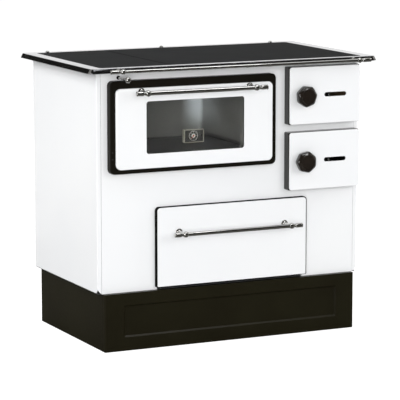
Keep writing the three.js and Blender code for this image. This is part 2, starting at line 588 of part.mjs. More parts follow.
// ---------- oven door ----------
const hingePlaces = [ovenDoor.left + ovenHinge.inset, ovenDoor.right - ovenHinge.inset];
function ovenCasting() {
  const { casting, rear, wall } = ovenDepth;
  const { y, z, bore, knuckle, lug, lugWide } = ovenHinge;
  const shell = pressing(ovenDoor, [[casting, 3], [casting + 1, 1], [casting + 3, 0], [rear, 0]]);
  const hollow = pressing(ovenDoor, [[casting + wall, wall], [rear + 1, wall]]);
  const opening = pressing({ ...ovenWindow, radius: 10 }, [[casting - 2, -2], [casting + wall + 1, -2]]);
  const knuckles = hingePlaces.map((x, i) => {
    const start = i === 0 ? x + lugWide / 2 + 0.5 : x - lugWide / 2 - 0.5 - 14;
    return bar(knuckle, 14, [start, y, z], toRight, 18);
  });
  const reliefs = hingePlaces.map((x) => block(x - lugWide / 2 - 1, x + lugWide / 2 + 1,
    casting + wall, rear + 1,
    ovenDoor.low - 1, ovenDoor.low + wall + 1));
  const pinBores = hingePlaces.map((x) => bar(bore, 60, [x - 30, y, z], toRight, 18));
  const toe = block(ovenDoor.left - 1, ovenDoor.right + 1, y + lug, rear + 1, ovenDoor.low - 1,
    ovenDoor.low + 0.01);
  return less(joined(less(shell, hollow, opening), ...knuckles), ...reliefs, ...pinBores, toe);
}
function ovenCoverSheet() {
  const { cover, casting } = ovenDepth;
  const shell = pressing(ovenCover, [[cover, 3], [cover + 0.8, 1], [cover + 2.6, 0], [casting - gap, 0]]);
  const hollow = pressing(ovenCover, [[cover + sheet, sheet], [casting + 1, sheet]]);
  const opening = pressing(ovenWindow, [[cover - 1, 0], [cover + sheet + 1, 0]]);
  return less(shell, hollow, opening);
}
function ovenLinerPlate() {
  const { casting, rear, wall } = ovenDepth;
  const plateArea = { left: ovenDoor.left + wall + 1, right: ovenDoor.right - wall - 1, low: ovenHinge.z + 8,
    high: ovenDoor.high - wall - 1, radius: 9 };
  const plate = pressing(plateArea, [[rear - 3.5, 0], [rear - 1.5, 0]]);
  const plug = less(pressing(ovenLiner, [[rear - 2, 0], [rear + 5, 0], [rear + ovenLiner.reach, 2.5]]),
    pressing(ovenLiner, [[rear - 2.5, 8], [rear + ovenLiner.reach + 1, 8]]));
  const opening = pressing({ ...ovenWindow, radius: 9 }, [[casting, -3], [rear + 1, -3]]);
  const tunnelArea = { ...ovenWindow, radius: 9 };
  const tunnel = less(pressing(tunnelArea, [[casting + wall + gap, -4.5], [rear - 2, -4.5]]),
    pressing(tunnelArea, [[casting + wall - 1, -3], [rear, -3]]));
  return joined(less(joined(plate, plug), opening), tunnel);
}
function windowGlass() {
  const front = ovenDepth.cover + sheet + gap;
  return pressing({ ...ovenWindow, radius: 8 }, [[front, -10], [front + 4, -10]]);
}
function ovenHingeLug(index) {
  const { y, z, pin, lug, lugWide } = ovenHinge;
  const x = hingePlaces[index];
  const inwards = index === 0 ? 1 : -1;
  const reach = Math.abs(y) - gap;
  const nose = Array.from({ length: 9 }, (_, i) => Math.PI / 2 + i * Math.PI / 8)
    .map((angle) => [y + lug * Math.cos(angle), z + lug * Math.sin(angle)]);
  const plate = sideways(outline([...nose, [y + reach, z - lug], [y + reach, z + lug]]),
    x - lugWide / 2, x + lugWide / 2);
  return joined(plate, bar(pin, 19, [x - inwards, y, z], inwards < 0 ? toLeft : toRight, 18));
}

// ---------- wood drawer ----------
function drawerTray() {
  const area = { ...drawer, lowRadius: 3 };
  return less(pressing(area, [[drawer.tray, 0.6], [drawer.tray + 0.8, 0], [drawer.rear, 0]]),
    pressing(area, [[drawer.tray + sheet, sheet], [drawer.rear + 1, sheet]]));
}
function drawerCover() {
  const area = { left: drawer.left + 2.6, right: drawer.right - 1.8, low: drawer.low + 1,
    high: drawer.high - 2, radius: drawer.radius - 2, lowRadius: 3 };
  return pressing(area, [[drawer.face, 1.4], [drawer.face + 0.4, 0.4], [drawer.face + 1.3, 0],
    [drawer.tray - gap, 0]]);
}
function woodBox() {
  const { half, low, high, front, back, wall } = drawerBox;
  return less(block(-half, half, front, back, low, high),
    block(-half + wall, half - wall, front + wall, back - wall, low + wall, high + 1));
}
// an L of steel beside and under the drawer box
function drawerRunner(side) {
  const low = body.low + sheet + gap;
  const under = drawerBox.low - gap;
  const beside = drawerBox.half + 0.6;
  const step = block(side * (beside - runner.step), side * (beside + 3), runner.front, runner.back,
    low, under);
  const guard = block(side * beside, side * (beside + 3), runner.front, runner.back, low, low + runner.tall);
  const lightening = block(side * (beside - runner.step + sheet), side * (beside + 1),
    runner.front - 1, runner.back + 1,
    low - 1, under - sheet);
  return less(joined(step, guard), lightening);
}

// ---------- damper ----------
function damperRod() {
  const { x, z, rod, ball, tipY, end, plateHalf, plateLow } = damper;
  const sphere = [0.2, 0.4, 0.6, 0.8].map((part) => part * Math.PI)
    .map((angle) => [ball * Math.sin(angle), ball - ball * Math.cos(angle)]);
  const start = tipY - ball;
  const grip = turned([[0, 0], ...sphere, [rod, 2 * ball - 0.5], [rod, end - start], [0, end - start]],
    [x, start, z], toBack, 14);
  const plate = { left: x - plateHalf, right: x + plateHalf, low: plateLow, high: z + 8, radius: 4 };
  return joined(grip, upright(outline(rectPoints(plate, 0, 2)), end - 1, end + sheet));
}
function damperRosette() {
  const { x, z, hole } = damper;
  return turned([[hole, gap], [6, gap], [6, gap + 1.5], [4.6, gap + 3], [hole, gap + 3], [hole, gap]],
    [x, 0, z], toFront, 14);
}

// ---------- the stove, from the floor up ----------
add('plinth_front', plinthFront(), darkEnamel());
add('plinth_skirt', plinthSkirt(), darkEnamel());
add('base_plate', basePlate(), zincSheet());
add('side_panel_left', sidePanel(-1), whiteEnamel());
add('side_panel_right', sidePanel(1), whiteEnamel());
add('front_panel', frontSheet(), whiteEnamel());
add('back_panel', backSheet(), zincSheet());
add('flue_collar', flueCollar(), blackCasting());

add('cooktop_frame', cooktopFrame(), brightSteel());
const seam = { left: hotPlate.seamX - gap, right: hotPlate.seamX + gap };
add('hotplate_left', hotPlateCasting(-hotPlate.half, seam.left, 1), plateSteel());
add('hotplate_right', hotPlateCasting(seam.right, hotPlate.half, 4), plateSteel());
add('cap_nut_left', domedNut(-capNut.x), chromePlate());
add('cap_nut_centre', domedNut(0), chromePlate());
add('cap_nut_right', domedNut(capNut.x), chromePlate());
addHandle('towel_rail', towelRail, 10);

add('firebox_shell', fireboxShell(), castIron());
add('grate_frame', grateFrameRing(), castIron());
const lining = { left: firebox.left + sheet + gap, right: firebox.right - sheet - gap,
  back: firebox.back - sheet - gap };
const sideBrickBack = lining.back - brick.thick - gap;
add('firebrick_left', brickSlab(lining.left, lining.left + brick.thick, brick.front, sideBrickBack,
  'right'), fireclay());
add('firebrick_right', brickSlab(lining.right - brick.thick, lining.right, brick.front, sideBrickBack,
  'left'), fireclay());
add('firebrick_back', brickSlab(lining.left, lining.right, lining.back - brick.thick, lining.back,
  'front'), fireclay());
add('fire_grate', fireGrate(), castIron());
add('ash_pan', ashTray(), zincSheet());

add('oven_box', ovenBox(), ovenEnamel());
add('oven_flange', ovenFlange(), ovenEnamel());
add('oven_floor_plate', ovenFloorPlate(), ovenEnamel());
add('thermometer_case', gaugeCase(), chromePlate());
add('thermometer_needle', gaugeNeedle(), needleRed());

add('oven_hinge_left', ovenHingeLug(0), castIron());
add('oven_hinge_right', ovenHingeLug(1), castIron());
add('oven_door_casting', ovenCasting(), blackCasting());
add('oven_door_cover', ovenCoverSheet(), whiteEnamel());
add('oven_door_liner', ovenLinerPlate(), ovenEnamel());
add('oven_door_glass', windowGlass(), doorGlass());
addHandle('oven_handle', ovenHandle);

for (const [door, turn] of [[fireDoor, 0.1], [ashDoor, 0.45]]) {
  add(`${door.name}_hinge`, doorHinge(door), castIron());
  add(`${door.name}_door_casting`, doorCasting(door), blackCasting());
  add(`${door.name}_door_cover`, doorCover(door), whiteEnamel());
  add(`${door.name}_knob`, knobGrip(door, turn), bakelite());
  add(`${door.name}_latch`, latchSpindle(door), castIron());
  add(`${door.name}_air_slide`, slidePlate(door), zincSheet());
}

add('drawer_tray', drawerTray(), darkEnamel());
add('drawer_cover', drawerCover(), whiteEnamel());
add('drawer_box', woodBox(), zincSheet());
add('drawer_runner_left', drawerRunner(-1), zincSheet());
add('drawer_runner_right', drawerRunner(1), zincSheet());
addHandle('drawer_handle', drawerHandle);

add('damper_rod', damperRod(), chromePlate());
add('damper_rosette', damperRosette(), chromePlate());

export default stove;
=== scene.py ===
import json
import math

import bmesh
import bpy
import numpy as np
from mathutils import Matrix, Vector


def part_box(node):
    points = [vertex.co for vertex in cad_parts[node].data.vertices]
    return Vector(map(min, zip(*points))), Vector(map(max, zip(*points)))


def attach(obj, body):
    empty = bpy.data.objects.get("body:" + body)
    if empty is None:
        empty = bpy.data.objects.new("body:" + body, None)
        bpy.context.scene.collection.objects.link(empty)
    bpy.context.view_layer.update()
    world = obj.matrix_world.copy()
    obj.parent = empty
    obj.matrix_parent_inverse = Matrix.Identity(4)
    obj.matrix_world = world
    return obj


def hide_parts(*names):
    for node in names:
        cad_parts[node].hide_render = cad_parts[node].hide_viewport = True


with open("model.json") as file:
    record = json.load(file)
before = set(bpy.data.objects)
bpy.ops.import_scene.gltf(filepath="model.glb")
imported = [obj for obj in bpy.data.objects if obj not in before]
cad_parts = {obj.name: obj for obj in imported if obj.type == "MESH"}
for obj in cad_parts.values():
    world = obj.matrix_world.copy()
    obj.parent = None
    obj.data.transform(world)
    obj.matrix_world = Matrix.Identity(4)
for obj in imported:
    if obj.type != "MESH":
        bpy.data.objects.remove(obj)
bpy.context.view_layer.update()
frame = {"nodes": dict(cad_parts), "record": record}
mm = 0.001
scene = bpy.context.scene
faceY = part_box("front_panel")[0].y  # outer face of the white front sheet
print("frame loaded")


# the camera stands where the photograph was taken from
camera = {"place": (-3.10308, -6.49034, 1.55475), "yaw": 25.583, "pitch": 9.144, "lens": 211.08,
          "sensor": 36, "reach": 60}


def placeCamera():
    # looks level along +Y, then turned down by the pitch and to the right by the yaw
    data = bpy.data.cameras.new("camera")
    data.lens = camera["lens"]
    data.sensor_width = camera["sensor"]
    data.clip_end = camera["reach"]
    eye = bpy.data.objects.new("camera", data)
    eye.location = camera["place"]
    eye.rotation_euler = (math.radians(90 - camera["pitch"]), 0, math.radians(-camera["yaw"]))
    scene.collection.objects.link(eye)
    scene.camera = eye


placeCamera()
scene.view_settings.view_transform = "Standard"


def toRow(points):
    # millimetres from the outer face of the front sheet, to metres in the frame
    return np.asarray(points, float) * mm + (0, faceY, 0)


def meshObject(name, points, faces, sharpAngle=32):
    # points in millimetres, turned into a smooth mesh whose edges steeper than the angle stay sharp
    mesh = bpy.data.meshes.new(name)
    mesh.from_pydata(toRow(points).tolist(), [], faces)
    mesh.polygons.foreach_set("use_smooth", np.ones(len(mesh.polygons), bool))
    mesh.set_sharp_from_angle(angle=math.radians(sharpAngle))
    mesh.update()
    obj = bpy.data.objects.new(name, mesh)
    scene.collection.objects.link(obj)
    return obj


def signedVolume(points, faces):
    # sum over fan triangles of p . (q x r) / 6
    total = 0.0
    quads = np.array([face for face in faces if len(face) == 4])
    if len(quads):
        for a, b, c in ((0, 1, 2), (0, 2, 3)):
            p, q, r = points[quads[:, a]], points[quads[:, b]], points[quads[:, c]]
            total += np.einsum("ij,ij->", p, np.cross(q, r))
    for face in (np.array(face) for face in faces if len(face) != 4):
        total += (np.cross(points[face[1:-1]], points[face[2:]]) @ points[face[0]]).sum()
    return total / 6


def ringSurface(name, rings, closed=False, sharpAngle=32):
    # quad (i, j) joins ring i to ring i + 1 and point j to point j + 1; open ends are shut with one face each
    rings = np.asarray(rings, float)
    count, around = rings.shape[:2]
    i, j = np.meshgrid(np.arange(count if closed else count - 1), np.arange(around), indexing="ij")
    nextRing, nextPoint = (i + 1) % count, (j + 1) % around
    faces = np.stack([i * around + j, i * around + nextPoint, nextRing * around + nextPoint,
                      nextRing * around + j], axis=-1).reshape(-1, 4).tolist()
    if not closed:
        faces.append(list(range(around))[::-1])
        faces.append(list(range((count - 1) * around, count * around)))
    points = rings.reshape(-1, 3)
    if signedVolume(points, faces) < 0:
        faces = [face[::-1] for face in faces]
    return meshObject(name, points, faces, sharpAngle)


def roundedRect(area, inset=0.0, perCorner=10):
    # four quarter circles joined by straight runs: corner centre + radius * (cos t, sin t)
    left, right = area["left"] + inset, area["right"] - inset
    low, high = area["low"] + inset, area["high"] - inset
    radii = area["radius"] if isinstance(area["radius"], tuple) else (area["radius"],) * 4
    lowRight, highRight, highLeft, lowLeft = (max(radius - inset, 0.25) for radius in radii)
    t = np.linspace(0, math.pi / 2, perCorner)
    corners = [(right - lowRight, low + lowRight, lowRight, 270),
               (right - highRight, high - highRight, highRight, 0),
               (left + highLeft, high - highLeft, highLeft, 90),
               (left + lowLeft, low + lowLeft, lowLeft, 180)]
    sweeps = [(u, v, radius, t + math.radians(turn)) for u, v, radius, turn in corners]
    return np.concatenate([np.stack([u + radius * np.cos(a), v + radius * np.sin(a)], axis=-1)
                           for u, v, radius, a in sweeps])


def standing(area, stations, perCorner=10):
    # one rounded rectangle in the X-Z plane for each (y, inset) station
    return [np.insert(roundedRect(area, inset, perCorner), 1, y, axis=1) for y, inset in stations]


def lying(area, stations, perCorner=10):
    # one rounded rectangle in the X-Y plane for each (z, inset) station
    return [np.insert(roundedRect(area, inset, perCorner), 2, z, axis=1) for z, inset in stations]


def edgeRoll(face, radius, steps=7, side=1):
    # quarter-round stations behind a face: depth r (1 - sin t), inset r (1 - cos t), t from 90 to 0 degrees;
    # side -1 turns the inset outwards, as round the mouth of an opening
    t = np.linspace(math.pi / 2, 0, steps)
    flat = [(face, side * (radius + 0.8))]
    return flat + [(face + radius * (1 - math.sin(a)), side * radius * (1 - math.cos(a))) for a in t]


def turnRings(profile, origin, direction, sides):
    # each profile point (radius, distance) is carried round the line origin + distance * direction
    profile = np.array(profile, float)
    along = np.array(direction, float) / np.linalg.norm(direction)
    across = np.cross(along, (0, 0, 1) if abs(along[2]) < 0.9 else (1, 0, 0))
    across /= np.linalg.norm(across)
    t = np.linspace(0, 2 * math.pi, sides, endpoint=False)
    circle = np.cos(t)[:, None] * across + np.sin(t)[:, None] * np.cross(along, across)
    radii = np.maximum(profile[:, 0], 0.02)
    return np.array(origin) + profile[:, 1, None, None] * along + radii[:, None, None] * circle[None]


def lathe(name, profile, origin, direction, sides=48, closed=False):
    # the rings of turnRings as a solid; a closed profile comes back to its start, as round a bore
    return ringSurface(name, turnRings(profile, origin, direction, sides), closed, 40)


def arc(centre, radius, start, end, steps):
    # points (centre radius + r cos t, centre distance + r sin t), angles in degrees
    t = np.radians(np.linspace(start, end, steps))
    return list(zip(centre[0] + radius * np.cos(t), centre[1] + radius * np.sin(t)))


def merged(name, pieces):
    # one object of several closed shells
    bm = bmesh.new()
    for piece in pieces:
        bm.from_mesh(piece.data)
    mesh = bpy.data.meshes.new(name)
    bm.to_mesh(mesh)
    bm.free()
    for piece in pieces:
        bpy.data.objects.remove(piece)
    obj = bpy.data.objects.new(name, mesh)
    scene.collection.objects.link(obj)
    return obj


def carved(obj, cutters):
    # the solid less the cutters, by boolean difference, after which the cutters are gone
    for cutter in cutters:
        cut = obj.modifiers.new("cut", "BOOLEAN")
        cut.operation = "DIFFERENCE"
        cut.solver = "EXACT"
        cut.object = cutter
    graph = bpy.context.evaluated_depsgraph_get()
    mesh = bpy.data.meshes.new_from_object(obj.evaluated_get(graph))
    mesh.set_sharp_from_angle(angle=math.radians(32))
    obj.modifiers.clear()
    obj.data = mesh
    for cutter in cutters:
        bpy.data.objects.remove(cutter)
    return obj


softening = {"join": 0.01, "flatAngle": 0.5, "edgeAngle": 38, "segments": 2, "areaWeight": 80}


def softened(node, width):
    # a merged copy of a CAD solid: edges steeper than the angle are rounded, normals weighted by face area
    bm = bmesh.new()
    bm.from_mesh(frame["nodes"][node].data)
    bmesh.ops.remove_doubles(bm, verts=bm.verts, dist=softening["join"] * mm)
    flat = math.radians(softening["flatAngle"])
    bmesh.ops.dissolve_limit(bm, angle_limit=flat, verts=bm.verts, edges=bm.edges)
    mesh = bpy.data.meshes.new(node + "_skin")
    bm.to_mesh(mesh)
    bm.free()
    mesh.polygons.foreach_set("use_smooth", np.ones(len(mesh.polygons), bool))
    obj = bpy.data.objects.new(node + "_skin", mesh)
    scene.collection.objects.link(obj)
    bevel = obj.modifiers.new("edge", "BEVEL")
    bevel.width = width * mm
    bevel.segments = softening["segments"]
    bevel.limit_method = "ANGLE"
    bevel.angle_limit = math.radians(softening["edgeAngle"])
    bevel.use_clamp_overlap = True
    obj.modifiers.new("flat", "WEIGHTED_NORMAL").weight = softening["areaWeight"]
    return obj


bodyOf = {node: body for body, nodes in frame["record"]["behaviour"]["bodies"].items() for node in nodes}
slotOf = {part["node"]: part["material_slot"] for part in frame["record"]["subparts"]}


def dress(obj, node, material=None):
    # the piece stands for a CAD node, on its body and with the material of its slot
    obj.data.materials.clear()
    obj.data.materials.append(material or materialOf[slotOf[node]])
    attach(obj, bodyOf[node])
    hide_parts(node)
    return obj


def addTrim(obj, material, body):
    # a small piece that the solids leave out
    obj.data.materials.clear()
    obj.data.materials.append(material)
    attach(obj, body)


def newGroup(name, inputs, outputs):
    group = bpy.data.node_groups.new(name, "ShaderNodeTree")
    for label, kind, value in inputs:
        socket = group.interface.new_socket(label, in_out="INPUT", socket_type=kind)
        socket.default_value = value
    for label, kind in outputs:
        group.interface.new_socket(label, in_out="OUTPUT", socket_type=kind)
    return group, group.nodes.new("NodeGroupInput"), group.nodes.new("NodeGroupOutput")


def noiseNode(tree, scale, detail=3.0, roughness=0.5):
    node = tree.nodes.new("ShaderNodeTexNoise")
    node.inputs["Scale"].default_value = scale
    node.inputs["Detail"].default_value = detail
    node.inputs["Roughness"].default_value = roughness
    return node


def rangeNode(tree, source, **ends):
    # linear map of a value from one range to another, clamped; fromMin and the like name the ends
    node = tree.nodes.new("ShaderNodeMapRange")
    tree.links.new(source, node.inputs["Value"])
    for end, value in ends.items():
        socket = node.inputs[end[:-3].title() + " " + end[-3:]]
        if isinstance(value, (int, float)):
            socket.default_value = value
        else:
            tree.links.new(value, socket)
    return node.outputs["Result"]


def mixNode(tree, factor, colorA, colorB):
    # colour A where the factor is 0, colour B where it is 1
    node = tree.nodes.new("ShaderNodeMix")
    node.data_type = "RGBA"
    tints = [socket for socket in node.inputs if socket.type == "RGBA"]
    for source, socket in ((factor, node.inputs[0]), (colorA, tints[0]), (colorB, tints[1])):
        tree.links.new(source, socket)
    return next(socket for socket in node.outputs if socket.type == "RGBA")


def mathNode(tree, operation, first, second=None):
    # one or two values, each a socket or a number, through an operation
    node = tree.nodes.new("ShaderNodeMath")
    node.operation = operation
    for i, value in enumerate((first, second)[:1 if second is None else 2]):
        if isinstance(value, (int, float)):
            node.inputs[i].default_value = value
        else:
            tree.links.new(value, node.inputs[i])
    return node.outputs["Value"]


tintSockets = [("Tint A", "NodeSocketColor", (0.5, 0.5, 0.5, 1)),
               ("Tint B", "NodeSocketColor", (0.6, 0.6, 0.6, 1)),
               ("Rough Low", "NodeSocketFloat", 0.2), ("Rough High", "NodeSocketFloat", 0.4)]
surfaceSockets = [("Color", "NodeSocketColor"), ("Roughness", "NodeSocketFloat"),
                  ("Height", "NodeSocketFloat")]


def feedSink(group, source, sink, spread, rough, roughTop, height):
    # colour between the tints by the spread, roughness from low to high as rough goes from 0 to its top
    tint = mixNode(group, spread, source.outputs["Tint A"], source.outputs["Tint B"])
    group.links.new(tint, sink.inputs["Color"])
    ends = {"toMin": source.outputs["Rough Low"], "toMax": source.outputs["Rough High"]}
    group.links.new(rangeNode(group, rough, fromMax=roughTop, **ends), sink.inputs["Roughness"])
    group.links.new(height, sink.inputs["Height"])


def makeMottleGroup():
    # colour wanders between two tints with broad noise; roughness and height follow the fine noise
    scales = [("Broad Scale", "NodeSocketFloat", 4.0), ("Fine Scale", "NodeSocketFloat", 300.0)]
    group, source, sink = newGroup("mottledSurface", tintSockets + scales, surfaceSockets)
    place = group.nodes.new("ShaderNodeTexCoord")
    broad = noiseNode(group, 4.0, 4.0, 0.55)
    fine = noiseNode(group, 300.0, 3.0, 0.6)
    for node, label in ((broad, "Broad Scale"), (fine, "Fine Scale")):
        group.links.new(place.outputs["Object"], node.inputs["Vector"])
        group.links.new(source.outputs[label], node.inputs["Scale"])
    spread = rangeNode(group, broad.outputs["Fac"], fromMin=0.3, fromMax=0.7)
    feedSink(group, source, sink, spread, fine.outputs["Fac"], 1.0, fine.outputs["Fac"])
    return group


def makeGrindGroup():
    # parallel scratches: noise stretched by a vector, times a slow cloud that leaves patches
    stretches = [("Stretch", "NodeSocketVector", (4.0, 400.0, 400.0))]
    group, source, sink = newGroup("groundSteel", tintSockets + stretches, surfaceSockets)
    place = group.nodes.new("ShaderNodeTexCoord")
    stretch = group.nodes.new("ShaderNodeVectorMath")
    stretch.operation = "MULTIPLY"
    group.links.new(place.outputs["Object"], stretch.inputs[0])
    group.links.new(source.outputs["Stretch"], stretch.inputs[1])
    lines = noiseNode(group, 1.0, 4.0, 0.6)
    group.links.new(stretch.outputs["Vector"], lines.inputs["Vector"])
    cloud = noiseNode(group, 5.0, 5.0, 0.6)
    group.links.new(place.outputs["Object"], cloud.inputs["Vector"])
    both = mathNode(group, "MULTIPLY", lines.outputs["Fac"], cloud.outputs["Fac"])
    spread = rangeNode(group, both, fromMin=0.12, fromMax=0.4)
    feedSink(group, source, sink, spread, both, 0.5, lines.outputs["Fac"])
    return group


mottleGroup = makeMottleGroup()
grindGroup = makeGrindGroup()


# each finish: two tints, noise scales or a stretch, roughness from and to, bump strength and depth in metres
finishes = {
    "whiteEnamel": {
        "tints": ((0.885, 0.89, 0.9), (0.905, 0.907, 0.908)),
        "scales": (2.5, 90), "rough": (0.16, 0.24), "bump": (0.04, 0.0004),
        "shader": {"Coat Weight": 0.4, "Coat Roughness": 0.05}},
    "darkEnamel": {
        "tints": ((0.01, 0.0084, 0.0038), (0.013, 0.0116, 0.0052)),
        "scales": (6, 120), "rough": (0.3, 0.4), "bump": (0.015, 0.0004),
        "shader": {"Specular IOR Level": 0.16}},
    "blackCasting": {
        "tints": ((0.0075, 0.0066, 0.0048), (0.01, 0.0088, 0.0066)),
        "scales": (9, 700), "rough": (0.16, 0.24), "bump": (0.05, 0.0004),
        "shader": {"Specular IOR Level": 0.42}},
    "satinCasting": {
        "tints": ((0.007, 0.0061, 0.0042), (0.0095, 0.0082, 0.0058)),
        "scales": (9, 700), "rough": (0.3, 0.4), "bump": (0.05, 0.0004),
        "shader": {"Specular IOR Level": 0.06}},
    "plateSteel": {
        "tints": ((0.015, 0.0154, 0.0158), (0.0195, 0.02, 0.0204)),
        "stretch": (3, 500, 500), "rough": (0.62, 0.8), "bump": (0.1, 0.0002),
        "shader": {"Specular IOR Level": 0.02}},
    "brightSteel": {
        "tints": ((0.25, 0.257, 0.28), (0.62, 0.61, 0.62)),
        "stretch": (55, 18, 60), "rough": (0.07, 0.16), "bump": (0.04, 0.0002),
        "shader": {"Metallic": 1.0}},
    "chromePlate": {
        "tints": ((0.56, 0.555, 0.54), (0.63, 0.625, 0.61)),
        "scales": (14, 500), "rough": (0.025, 0.06), "bump": (0.008, 0.0002),
        "shader": {"Metallic": 1.0}},
    "bakelite": {
        "tints": ((0.01, 0.0075, 0.006), (0.018, 0.013, 0.01)),
        "scales": (30, 900), "rough": (0.06, 0.12), "bump": (0.02, 0.0002),
        "shader": {"Specular IOR Level": 0.7}},
    # painted shade: a darker, matter copy of the dark enamel, so that the drawer tray's edge reads as the
    # black shadow gap round the drawer front; the air slides behind the slots take it too
    "gapShadeBlack": {
        "tints": ((0.003, 0.0028, 0.0024), (0.005, 0.0048, 0.004)),
        "scales": (9, 500), "rough": (0.55, 0.7), "bump": (0.05, 0.0003),
        "shader": {"Specular IOR Level": 0.08}},
    "gaugeNickel": {
        "tints": ((0.62, 0.59, 0.5), (0.72, 0.69, 0.6)),
        "scales": (30, 500), "rough": (0.14, 0.22), "bump": (0.03, 0.0002),
        "shader": {"Metallic": 0.6}},
    "castIron": {
        "tints": ((0.025, 0.024, 0.023), (0.05, 0.048, 0.045)),
        "scales": (18, 900), "rough": (0.6, 0.85), "bump": (0.35, 0.0006),
        "shader": {"Metallic": 0.5}},
    "zincSheet": {
        "tints": ((0.3, 0.31, 0.32), (0.42, 0.43, 0.44)),
        "scales": (60, 400), "rough": (0.35, 0.5), "bump": (0.05, 0.0003),
        "shader": {"Metallic": 0.9}},
    "ovenEnamel": {
        "tints": ((0.098, 0.097, 0.092), (0.12, 0.12, 0.115)),
        "scales": (5, 600), "rough": (0.18, 0.28), "bump": (0.03, 0.0003)},
    "ovenBase": {
        "tints": ((0.005, 0.0048, 0.0042), (0.008, 0.0077, 0.007)),
        "scales": (7, 600), "rough": (0.3, 0.4), "bump": (0.04, 0.0003),
        "shader": {"Specular IOR Level": 0.2}},
    "fireBrick": {
        "tints": ((0.13, 0.085, 0.05), (0.27, 0.18, 0.105)),
        "scales": (22, 600), "rough": (0.85, 1.0), "bump": (0.7, 0.001)},
    "needleRed": {
        "tints": ((0.3, 0.035, 0.018), (0.36, 0.045, 0.024)),
        "scales": (80, 900), "rough": (0.4, 0.5), "bump": (0.02, 0.0001)},
    "dialBlack": {
        "tints": ((0.008, 0.008, 0.008), (0.013, 0.013, 0.012)),
        "scales": (40, 900), "rough": (0.5, 0.6), "bump": (0.05, 0.0001)},
    "dialMarks": {
        "tints": ((0.7, 0.7, 0.66), (0.78, 0.78, 0.74)),
        "scales": (40, 900), "rough": (0.5, 0.6), "bump": (0.02, 0.0001)}}


def surface(name, spec):
    # a Principled material fed by the grind group where the finish has a stretch, or else by the mottle group
    material = bpy.data.materials.new(name)
    material.use_nodes = True
    tree = material.node_tree
    principled = tree.nodes["Principled BSDF"]
    node = tree.nodes.new("ShaderNodeGroup")
    node.node_tree = grindGroup if "stretch" in spec else mottleGroup
    tints, rough = [(*tint, 1) for tint in spec["tints"]], spec["rough"]
    values = {"Tint A": tints[0], "Tint B": tints[1], "Rough Low": rough[0], "Rough High": rough[1]}
    if "stretch" in spec:
        values["Stretch"] = spec["stretch"]
    else:
        values["Broad Scale"], values["Fine Scale"] = spec["scales"]
    for label, value in values.items():
        node.inputs[label].default_value = value
    for label, value in spec.get("shader", {}).items():
        principled.inputs[label].default_value = value
    relief = tree.nodes.new("ShaderNodeBump")
    relief.inputs["Strength"].default_value, relief.inputs["Distance"].default_value = spec["bump"]
    tree.links.new(node.outputs["Color"], principled.inputs["Base Color"])
    tree.links.new(node.outputs["Roughness"], principled.inputs["Roughness"])
    tree.links.new(node.outputs["Height"], relief.inputs["Height"])
    tree.links.new(relief.outputs["Normal"], principled.inputs["Normal"])
    return material


# painted shade along the seam between the hot plates, a darker colour standing in for the shade in the
# groove: millimetres, and the share of the colour that stays
seam = {"x": -207, "half": 2, "reach": 10, "level": 0.45}


def paintSeamShade(material):
    # painted shade: the colour times a level that rises smoothly to 1 with the distance |x - seam|
    tree = material.node_tree
    base = tree.nodes["Principled BSDF"].inputs["Base Color"]
    color = base.links[0].from_socket
    place = tree.nodes.new("ShaderNodeTexCoord")
    split = tree.nodes.new("ShaderNodeSeparateXYZ")
    tree.links.new(place.outputs["Object"], split.inputs["Vector"])
    apart = mathNode(tree, "ABSOLUTE", mathNode(tree, "SUBTRACT", split.outputs["X"], seam["x"] * mm))
    level = rangeNode(tree, apart, fromMin=seam["half"] * mm, fromMax=seam["reach"] * mm, toMin=seam["level"])
    level.node.interpolation_type = "SMOOTHSTEP"
    shade = tree.nodes.new("ShaderNodeVectorMath")
    shade.operation = "SCALE"
    tree.links.new(color, shade.inputs[0])
    tree.links.new(level, shade.inputs["Scale"])
    tree.links.new(shade.outputs["Vector"], base)


doorGlass = {"color": (0.94, 0.945, 0.925), "clear": (0.9, 0.91, 0.89), "ior": 1.3, "filmScale": 18,
             "filmRough": 0.012}


def makeGlass():
    # clear glass with a faint film; Light Path gives lamp light a plain way through to the oven
    material = bpy.data.materials.new("doorGlass")
    material.use_nodes = True
    tree = material.node_tree
    principled = tree.nodes["Principled BSDF"]
    principled.inputs["Base Color"].default_value = (*doorGlass["color"], 1)
    principled.inputs["Transmission Weight"].default_value = 1.0
    principled.inputs["IOR"].default_value = doorGlass["ior"]
    place = tree.nodes.new("ShaderNodeTexCoord")
    film = noiseNode(tree, doorGlass["filmScale"], 4.0, 0.6)
    tree.links.new(place.outputs["Object"], film.inputs["Vector"])
    rough = rangeNode(tree, film.outputs["Fac"], fromMin=0.45, fromMax=0.8, toMax=doorGlass["filmRough"])
    tree.links.new(rough, principled.inputs["Roughness"])
    clear = tree.nodes.new("ShaderNodeBsdfTransparent")
    clear.inputs["Color"].default_value = (*doorGlass["clear"], 1)
    path = tree.nodes.new("ShaderNodeLightPath")
    choose = tree.nodes.new("ShaderNodeMixShader")
    tree.links.new(path.outputs["Is Shadow Ray"], choose.inputs["Fac"])
    tree.links.new(principled.outputs["BSDF"], choose.inputs[1])
    tree.links.new(clear.outputs["BSDF"], choose.inputs[2])
    tree.links.new(choose.outputs["Shader"], tree.nodes["Material Output"].inputs["Surface"])
    return material


finish = {name: surface(name, spec) for name, spec in finishes.items()}
# painted shade along the hot-plate seam, darkening the plate steel's colour
paintSeamShade(finish["plateSteel"])
materialOf = {"white_enamel": finish["whiteEnamel"], "dark_enamel": finish["darkEnamel"],
              "black_casting": finish["blackCasting"], "plate_steel": finish["plateSteel"],
              "bright_steel": finish["brightSteel"], "chrome": finish["chromePlate"],
              "bakelite": finish["bakelite"], "cast_iron": finish["castIron"],
              "zinc_sheet": finish["zincSheet"], "oven_enamel": finish["ovenEnamel"],
              "firebrick": finish["fireBrick"], "needle_red": finish["needleRed"], "door_glass": makeGlass()}
print("materials made")


